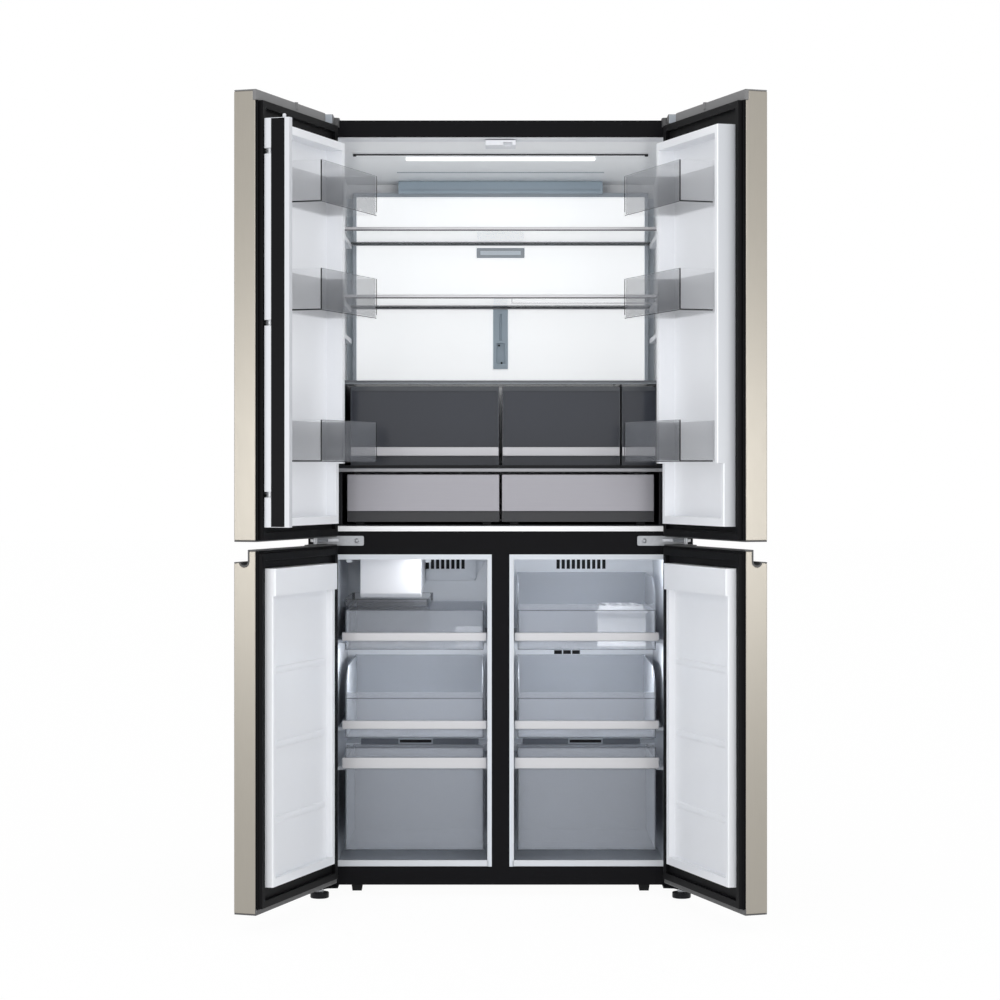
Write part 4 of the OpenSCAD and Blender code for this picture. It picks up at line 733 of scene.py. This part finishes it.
def edgeFacing(node, name, aim):
    # thin facing on the outermost faces that look along aim
    piece = copyNode(node, name)
    readyFaces()
    reach = max(vertex.co.dot(aim) for vertex in piece.data.vertices) - mm(sideFacing["within"])
    for face in piece.data.polygons:
        face.select = face.normal.dot(aim) < sideFacing["alignment"] or face.center.dot(aim) < reach
    bpy.ops.object.mode_set(mode="EDIT")
    bpy.ops.mesh.delete(type="FACE")
    bpy.ops.mesh.select_all(action="SELECT")
    bpy.ops.mesh.extrude_region_move(TRANSFORM_OT_translate={"value": aim * mm(sideFacing["proud"])})
    faceOut()
    return piece


# painted shade along the formed liner's outer side, a greyer facing; on the left the mullion stands before it
swing = math.radians(doorSwing["openAngle"])
facing = edgeFacing("upper_right_liner", "upper_right_dikeFacing",
                    Vector((-math.cos(swing), -math.sin(swing), 0)))
dress(facing, shadedSideWhite, "upper_right_door", "white_liner")

for side, _ in sides:
    dressCopy(f"{side}_door_bins", f"{side}_clearBins", clearPlastic, f"upper_{side}_door", "clear_plastic")

# the edges of a clear bin look dark where one looks along its walls
doorBin = {"levels": (1024, 1355.1, 1592), "height": 92, "near": 391.3, "far": 68.7, "wall": 50,
           "reach": 127.3, "rimDrop": 0.7, "sideRise": 1.6, "frontRise": 0.9, "endRise": 8, "sideRadius": 1.7,
           "postRadius": 1.5, "thinRadius": 0.9, "rimRadius": 0.6, "frontIn": 2, "front": (-2.2, -1.4),
           "frontUp": (3, -1)}
near, far, reach, thin = doorBin["near"], doorBin["far"], doorBin["reach"], doorBin["thinRadius"]
corner, end = (near, reach), (far, reach)
binParts = {"binEdges": (edgePlastic, []), "binRims": (rimPlastic, []), "binFronts": (frontTint, [])}
for z in doorBin["levels"]:
    top = z + doorBin["height"] - doorBin["rimDrop"]
    low, seam = z + doorBin["sideRise"], z + doorBin["frontRise"]
    for part, start, stop, radius in (
            ("binEdges", (near, doorBin["wall"], low), (*corner, low), doorBin["sideRadius"]),
            ("binEdges", (*corner, low), (*corner, top), doorBin["postRadius"]),
            ("binEdges", (*corner, seam), (*end, seam), thin),
            ("binEdges", (*end, z + doorBin["endRise"]), (*end, top), thin),
            ("binRims", (*corner, top), (*end, top), doorBin["rimRadius"])):
        binParts[part][1].append(addRod("edge", start, stop, radius, 8))
    across = (far + doorBin["frontIn"], near - doorBin["frontIn"])
    inwards = [reach + y for y in doorBin["front"]]
    up = (z + doorBin["frontUp"][0], top + doorBin["frontUp"][1])
    binParts["binFronts"][1].append(addBlock("front", *span(across, inwards, up), 0.2))
for name, (material, parts) in binParts.items():
    hangPair("{}_" + name, joinAll(name, parts), material, "upper_{}_door", "clear_plastic")

mullionBar = {"across": (443.3, 475.2), "inwards": (12.2, 13.5), "up": (882, 1770), "pivot": (435.5, 25.9)}
# the bar's white is painted a little greyer with shade
dressCopy("folding_mullion", "mullionBody", shadedMullionAbs, "folding_mullion", "dark_plastic", 0.8)
strip = addBlock("mullionStrip", *span(mullionBar["across"], mullionBar["inwards"], mullionBar["up"]), 0.3)
pivot = Vector((*mullionBar["pivot"], 0)) / 1000
strip.matrix_world = (Matrix.Translation(pivot) @ Matrix.Rotation(math.radians(90), 4, "Z")
                      @ Matrix.Translation(-pivot))
applyPlace(strip)
dress(toOpenDoor(strip), blackFrame, "folding_mullion", "dark_plastic")
print("door fittings made")

# Back wall of the fridge: the glowing panel, its glow painted light, its flanges, the outlet and the duct under
# the ceiling

wall = {"panelHalf": 372, "flangeHalf": 382, "sideHalf": 399.4, "face": 516, "back": 551.6, "up": (1225, 1711),
        "flangeIn": 3, "grooveGap": 0.5, "grooveThick": 2.5, "lipIn": 1, "lipUp": (1711, 1722.5)}
vent = {"half": 52, "up": (1561.9, 1571.9), "hole": (-3, 8), "bezel": 10, "bezelUp": (1553.9, 1579.9),
        "bezelDepth": (-2, 0.4), "bezelHole": (-4, 2), "floorDepth": (1.5, 4)}
airDuct = {"half": 263, "low": 1719.5, "high": 1750.8, "fall": 4.5, "bottomFront": -26, "topFront": -14,
           "slotIn": 6, "slotDepth": (-40, -19), "slotUp": (6, 11)}


def fromFace(depths):
    # depths in mm from the glowing panel's face
    return [wall["face"] + depth for depth in depths]


panel = addBlock("paintedGlowPanelSheet", *middleSpan(wall["panelHalf"], (wall["face"], wall["back"]), wall["up"]), 1.6)
cutOut(panel, *middleSpan(vent["half"], fromFace(vent["hole"]), vent["up"]))
dress(toCabinet(panel), paintedGlowPanel, "cabinet", "white_liner", "air_duct")
bezel = addBlock("ventBezel", *middleSpan(vent["half"] + vent["bezel"], fromFace(vent["bezelDepth"]),
                                          vent["bezelUp"]), 1.2)
cutOut(bezel, *middleSpan(vent["half"], fromFace(vent["bezelHole"]), vent["up"]))
dress(toCabinet(bezel), paleGreyAbs, "cabinet", "white_liner")
# tinted sheets paint the shade at the back of the vent's floor and of the corner grooves beside the panel
dressBlock("ventFloor", middleSpan(vent["half"], fromFace(vent["floorDepth"]), vent["up"]), 0.4, grooveShadeAbs)
for edge, side in sides:
    dressBlock(f"panelFlange_{edge}", sideSpan(side, (wall["panelHalf"], wall["flangeHalf"]),
                                               (wall["face"] + wall["flangeIn"], wall["back"]), wall["up"]),
               1.0, paleGreyAbs)
    across = (wall["flangeHalf"] + wall["grooveGap"], wall["sideHalf"])
    inwards = (wall["back"] - wall["grooveThick"], wall["back"])
    dressBlock(f"cornerGroove_{edge}", sideSpan(side, across, inwards, wall["up"]), 0.8, grooveShadeAbs)
# the duct's blue grey is painted shade on a white part
bottomFront, topFront = fromFace((airDuct["bottomFront"], airDuct["topFront"]))
duct = addProfile("ceilingDuct", [(0, bottomFront, airDuct["low"]), (0, wall["back"], airDuct["low"]),
                                  (0, wall["back"], airDuct["high"] - airDuct["fall"]),
                                  (0, topFront, airDuct["high"])],
                  (-airDuct["half"], 0, 0), (2 * airDuct["half"], 0, 0))
roundEdges(duct, 1.5, 3)
cutOut(duct, *middleSpan(airDuct["half"] - airDuct["slotIn"], fromFace(airDuct["slotDepth"]),
                         [airDuct["low"] + z for z in airDuct["slotUp"]]))
dress(toCabinet(duct), shadedDuctAbs, "cabinet", "white_liner")
dressBlock("ductLip", middleSpan(wall["flangeHalf"], (wall["face"] + wall["lipIn"], wall["back"]),
                                 wall["lipUp"]), 1.2, paleGreyAbs)

ceiling = {"front": 1793.5, "fall": 45, "depth": 553}


def ceilingHeight(y):
    # the ceiling falls towards the back
    return ceiling["front"] - ceiling["fall"] * (y + 1) / ceiling["depth"]


# the slot across the ceiling: its shade painted as a dark bed with rounded ends
ceilingGroove = {"half": 357, "inwards": 185, "width": 3.6, "below": 2.6, "above": 0.9, "endBelow": 5,
                 "endRadius": 4.2}
middle, top = ceilingGroove["inwards"], ceilingHeight(ceilingGroove["inwards"])
half, above = ceilingGroove["width"] / 2, top + ceilingGroove["above"]
parts = [addBlock("grooveBed", *middleSpan(ceilingGroove["half"], (middle - half, middle + half),
                                           (top - ceilingGroove["below"], above)), 0.3)]
for _, side in sides:
    x = side * ceilingGroove["half"]
    parts.append(addRod("grooveEnd", (x, middle, top - ceilingGroove["endBelow"]),
                        (x, middle, above), ceilingGroove["endRadius"], 24, 1.0))
dress(toCabinet(joinAll("ceilingGroove", parts)), slotDark, "cabinet", "white_liner")
# lighter strip along the ceiling's front edge
brow = {"half": 397, "front": 0.4, "back": 38, "below": 0.8, "above": 0.5}
frontTop, backTop = ceilingHeight(0), ceilingHeight(brow["back"])
piece = addProfile("ceilingBrow", [(0, brow["front"], frontTop - brow["below"]),
                                   (0, brow["back"], backTop - brow["below"]),
                                   (0, brow["back"], backTop + brow["above"]),
                                   (0, brow["front"], frontTop + brow["above"])],
                   (-brow["half"], 0, 0), (2 * brow["half"], 0, 0))
dress(toCabinet(roundEdges(piece, 0.4, 2)), whiteAbs, "cabinet", "white_liner")
# painted shade: darker field in the ceiling before the duct
field = {"corners": ((-262, 392), (262, 392), (272, 486), (-272, 486)), "below": 0.7, "thick": 1.2}
fieldOutline = [(x, y, ceilingHeight(y) - field["below"]) for x, y in field["corners"]]
paintedShadeField = addProfile("ceilingField", fieldOutline, (0, 0, 0), (0, 0, field["thick"]))
dress(toCabinet(paintedShadeField), paleGreyAbs, "cabinet", "white_liner")

# Shelves: silver front rails with a dark underside, grey rails at the back, wedges in the side walls

shelfLevels = {"upper": 1591.9, "lower": 1427.9}
# half width, depth, height from the glass's level, rounding and finish of each strip
shelfStrips = {"railUnderside": (394.6, (119.8, 129), (-6, -3.4), 0.6, stripAbs),
               "backRail": (386.2, (503.6, 505.1), (-6.6, 2.8), 0.5, backTrim),
               "backSeam": (386.3, (503.3, 504.5), (-3.4, -0.2), 0.3, slotDark)}
dressCopy("shelf_trims", "shelfRails", trimSilver, "cabinet", "silver_trim", 0.8, 3)
for level, glassZ in shelfLevels.items():
    for name, (half, inwards, up, rounding, material) in shelfStrips.items():
        dressBlock(f"{level}_{name}", middleSpan(half, inwards, [glassZ + z for z in up]), rounding, material,
                   "silver_trim")
dressCopy("shelf_supports", "shelfWedges", whiteAbs, "cabinet", "white_plastic", 1.2, 3)

spine = {"screws": ((-3.9, 1327.7), (2.6, 1282.6)), "screwY": 507.2, "screwRadius": 2.6, "screwHeight": 1.2}
# the spine's blue grey is painted shade as well
dressCopy("centre_rail", "centreSpine", shadedDuctAbs, "cabinet", "grey_plastic", 0.9, 3)
for x, z in spine["screws"]:
    screw = addScrew("spineScrew", (x, spine["screwY"], z), (0, -1, 0), spine["screwRadius"],
                     spine["screwHeight"])
    dress(toCabinet(screw), slotDark, "cabinet", "black_steel")

# Hinges, their covers and the feet

for node, material, slot in (
        ("mid_hinges", zincSteel, "hinge_steel"), ("bottom_hinges", blackFrame, "black_steel"),
        ("top_hinges", zincSteel, "hinge_steel"), ("hinge_covers", capDark, "grey_plastic"),
        ("feet", darkAbs, "dark_plastic")):
    dressCopy(node, node + "_soft", material, "cabinet", slot, 0.7)
hinge = {"screws": (431, 340), "screwY": -2.8, "screwZ": 838.5, "screwRadius": 6.2, "screwHeight": 2.4}
# a pale block on each hinge cover's front face is a painted highlight where the light falls on it
litCoverNose = {"across": (394.5, 411), "inwards": (-65.9, -55), "up": (1819, 1839.6)}
footNut = {"across": 426, "inwards": -40, "up": (13.5, 21), "radius": 11}
for edge, side in sides:
    for index, x in enumerate(hinge["screws"]):
        screw = addScrew(f"hingeScrew_{edge}_{index}", (side * x, hinge["screwY"], hinge["screwZ"]), (0, -1, 0),
                         hinge["screwRadius"], hinge["screwHeight"])
        dress(toCabinet(screw), zincSteel, "cabinet", "hinge_steel")
    dressBlock(f"litCoverNose_{edge}", sideSpan(side, *litCoverNose.values()), 1.2, paleGreyAbs, "grey_plastic")
    low, high = ((side * footNut["across"], footNut["inwards"], z) for z in footNut["up"])
    dress(toCabinet(addRod(f"footNut_{edge}", low, high, footNut["radius"], 6, 0.8)), zincSteel, "cabinet",
          "hinge_steel")
print("fridge fittings made")

# Freezer back walls, rails and ice maker

# the freezer's back covers and runners wear its sheet with painted shade
for node, name, material, slot, rounding in (
        ("freezer_duct_covers", "freezerBackCovers", shadedFreezerWhite, "white_liner", 0.0),
        ("freezer_rails", "freezerRunners", shadedFreezerWhite, "white_liner", 0.8),
        ("ice_maker", "iceMakerHood", whiteAbs, "white_plastic", 2.0),
        ("mullion_guide", "mullionGuideBlock", whiteAbs, "white_plastic", 0.9)):
    dressCopy(node, name, material, "cabinet", slot, rounding, 3)
# painted shade behind the slots: across, depth and height in mm
grilleShades = {"leftGrille": ((-219.5, -88.5), (450.6, 453.6), (752.5, 783.5)),
                "rightGrille": ((140.5, 271), (455.6, 458.6), (752.5, 783.5)),
                "midGrille": ((135, 206), (455.6, 458.6), (535, 547))}
for name, (across, inwards, up) in grilleShades.items():
    dressBlock(name + "_shade", span(across, inwards, up), 0.5, slotDark)

# return hood on the step: dark front, its slot painted dark with shade, with a pale rim; across, height and how
# far each stands proud
hood = {"face": 365.7, "thick": 1.5,
        "parts": {"hoodFront": (returnGrey, (55.4, 351.6), (313, 330.6), 0.0),
                  "hoodRim": (paleGreyAbs, (170.5, 257.5), (316, 330.4), 0.7),
                  "hoodSlot": (slotDark, (174, 254), (319.5, 327), 1.2)}}
for edge, side in sides:
    for name, (material, across, up, proud) in hood["parts"].items():
        inwards = (hood["face"] - proud, hood["face"] + hood["thick"])
        dressBlock(f"{name}_{edge}", sideSpan(side, across, inwards, up), 0.4, material)

# white border of each freezer opening, painted greyer with shade: across and height of its sill and its two
# sides
border = {"inwards": (0.3, 5), "parts": (((28.5, 390.5), (66.6, 81)), ((28.5, 31.5), (66.6, 796)),
                                         ((389.3, 390.5), (66.6, 796)))}
for edge, side in sides:
    parts = [addBlock("border", *sideSpan(side, across, border["inwards"], up), 0.8)
             for across, up in border["parts"]]
    dress(toCabinet(joinAll(f"freezerBorder_{edge}", parts)), shadedSillAbs, "cabinet", "white_liner")
print("freezer walls made")

# Drawers

# each level has its silver band's underside and height, then its tub's floor, front rim, rear rim and back
freezerDrawer = {"across": (41, 370), "bandAcross": (32.7, 378.3), "bandInwards": (31.6, 44.3), "face": 36,
                 "levels": {"top": (598, 21, 578, 672, 672, 443), "mid": (388, 21, 368, 462, 536, 443),
                            "low": (294, 27, 100, 344, 316, 363)},
                 "lineInwards": (35.7, 37.4), "lineOut": 0.2, "lineIn": 1.5, "rimIn": 1.3,
                 "wallGap": 2.6, "wallThick": 0.8, "wallIn": 6, "wallRise": 5, "wallDrop": 2, "slopeTo": 66}
for level, (bandLow, bandHeight, tubFloor, rim, rearRim, tubBack) in freezerDrawer["levels"].items():
    for edge, side in sides:
        name, fit = f"freezer_{level}_{edge}", freezerDrawer
        dressCopy(name, name + "_tub", frostedPlastic, name, "clear_plastic")
        left, right = sorted(side * x for x in fit["across"])
        # outline of the clear front wall, and the pale side walls seen through it, painted greyer with shade
        lines = (((left, right), (tubFloor - fit["lineOut"], tubFloor + fit["lineIn"])),
                 ((left, right), (rim - fit["rimIn"], rim + fit["lineOut"])),
                 ((left - fit["lineOut"], left + fit["lineIn"]), (tubFloor, rim)),
                 ((right - fit["lineIn"], right + fit["lineOut"]), (tubFloor, rim)))
        outline = joinAll(name + "_outline", [addBlock("line", *span(across, fit["lineInwards"], up), 0.3)
                                              for across, up in lines])
        dress(toCabinet(outline), frostedEdge, name, "clear_plastic")
        front, rear = fit["face"] + fit["wallIn"], tubBack - fit["wallIn"]
        low, high = tubFloor + fit["wallRise"], rearRim - fit["wallDrop"]
        wallOutline = [(0, front, low), (0, rear, low), (0, rear, high),
                       (0, fit["face"] + fit["slopeTo"], high), (0, front, rim - fit["wallDrop"])]
        walls = [addProfile("wall", wallOutline, (x, 0, 0), (fit["wallThick"], 0, 0))
                 for x in (left + fit["wallGap"], right - fit["wallGap"] - fit["wallThick"])]
        dress(toCabinet(joinAll(name + "_sideWalls", walls)), shadedPaleWall, name, "clear_plastic")
        corners = sideSpan(side, fit["bandAcross"], fit["bandInwards"], (bandLow, bandLow + bandHeight))
        dress(toCabinet(addBlock(name + "_band", *corners, 2.5, 4)), trimSilver, name, "silver_trim")

# thin bars along the bucket's edges, where clear plastic looks dark
bucketEdge = {"thick": 1.0, "flat": 12}
dressCopy("ice_bucket", "bucketTub", clearPlastic, "freezer_top_left", "clear_plastic")
wires = copyNode("ice_bucket", "bucketEdges", flat=bucketEdge["flat"])
bars = wires.modifiers.new("edges", "WIREFRAME")
bars.thickness = mm(bucketEdge["thick"])
bars.use_even_offset = False
applyModifiers(wires)
dress(wires, frostedEdge, "freezer_top_left", "clear_plastic")
dressCopy("ice_tray", "cubeTray", trayPlastic, "freezer_top_right", "clear_plastic", 0.0)
dressCopy("ice_scoop", "iceScoop", trayPlastic, "freezer_top_left", "clear_plastic")

# set-backs from the drawer's sides, then depth and height of each piece
crisper = {"lipIn": 0.3, "lip": ((119.6, 122), (1197.5, 1208.2)), "stileIn": 0.2, "stileWide": 2,
           "stile": ((119.7, 122), (1019, 1197)), "handleIn": 0.4, "handle": ((117.6, 124), (1040, 1062))}
for node in ("left_crisper", "right_crisper", "narrow_crisper"):
    left, right = (corner.x * 1000 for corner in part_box(node))
    dressCopy(node, node + "_tub", smokePlastic, node, "smoke_plastic", 0.7)
    corners = span((left + crisper["lipIn"], right - crisper["lipIn"]), *crisper["lip"])
    dressBlock(node + "_lip", corners, 0.8, smokeEdge, "smoke_plastic", node)
    wide = crisper["stileWide"]
    for index, x in enumerate((left + crisper["stileIn"], right - crisper["stileIn"] - wide)):
        dressBlock(f"{node}_stile_{index}", span((x, x + wide), *crisper["stile"]), 0.5, smokeEdge,
                   "smoke_plastic", node)
    corners = span((left + crisper["handleIn"], right - crisper["handleIn"]), *crisper["handle"])
    dressBlock(node + "_handle", corners, 1.5, handleSilver, "silver_trim", node)

pantryPlate = {"inwards": (35.6, 39), "up": (907.7, 995.7)}
for node in ("left_pantry_drawer", "right_pantry_drawer"):
    across = [corner.x * 1000 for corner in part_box(node)]
    dressCopy(node, node + "_tub", gripAbs, node, "dark_plastic")
    dressBlock(node + "_plate", span(across, pantryPlate["inwards"], pantryPlate["up"]), 1.6, drawerSteel,
               "drawer_steel", node)
deckTrim = {"half": 397.4, "inwards": (36.2, 43), "up": (1001.7, 1010.4)}
dressBlock("deckTrim", middleSpan(*deckTrim.values()), 1.6, deckSilver, "silver_trim")
coverTrim = {"half": 396.8, "inwards": (117.7, 124), "up": (1217, 1223.2)}
dressBlock("coverTrim", middleSpan(*coverTrim.values()), 1.4, backTrim, "silver_trim")
dressCopy("drawer_frame", "drawerHousing", darkAbs, "cabinet", "dark_plastic")
print("drawers made")

clearSelection()
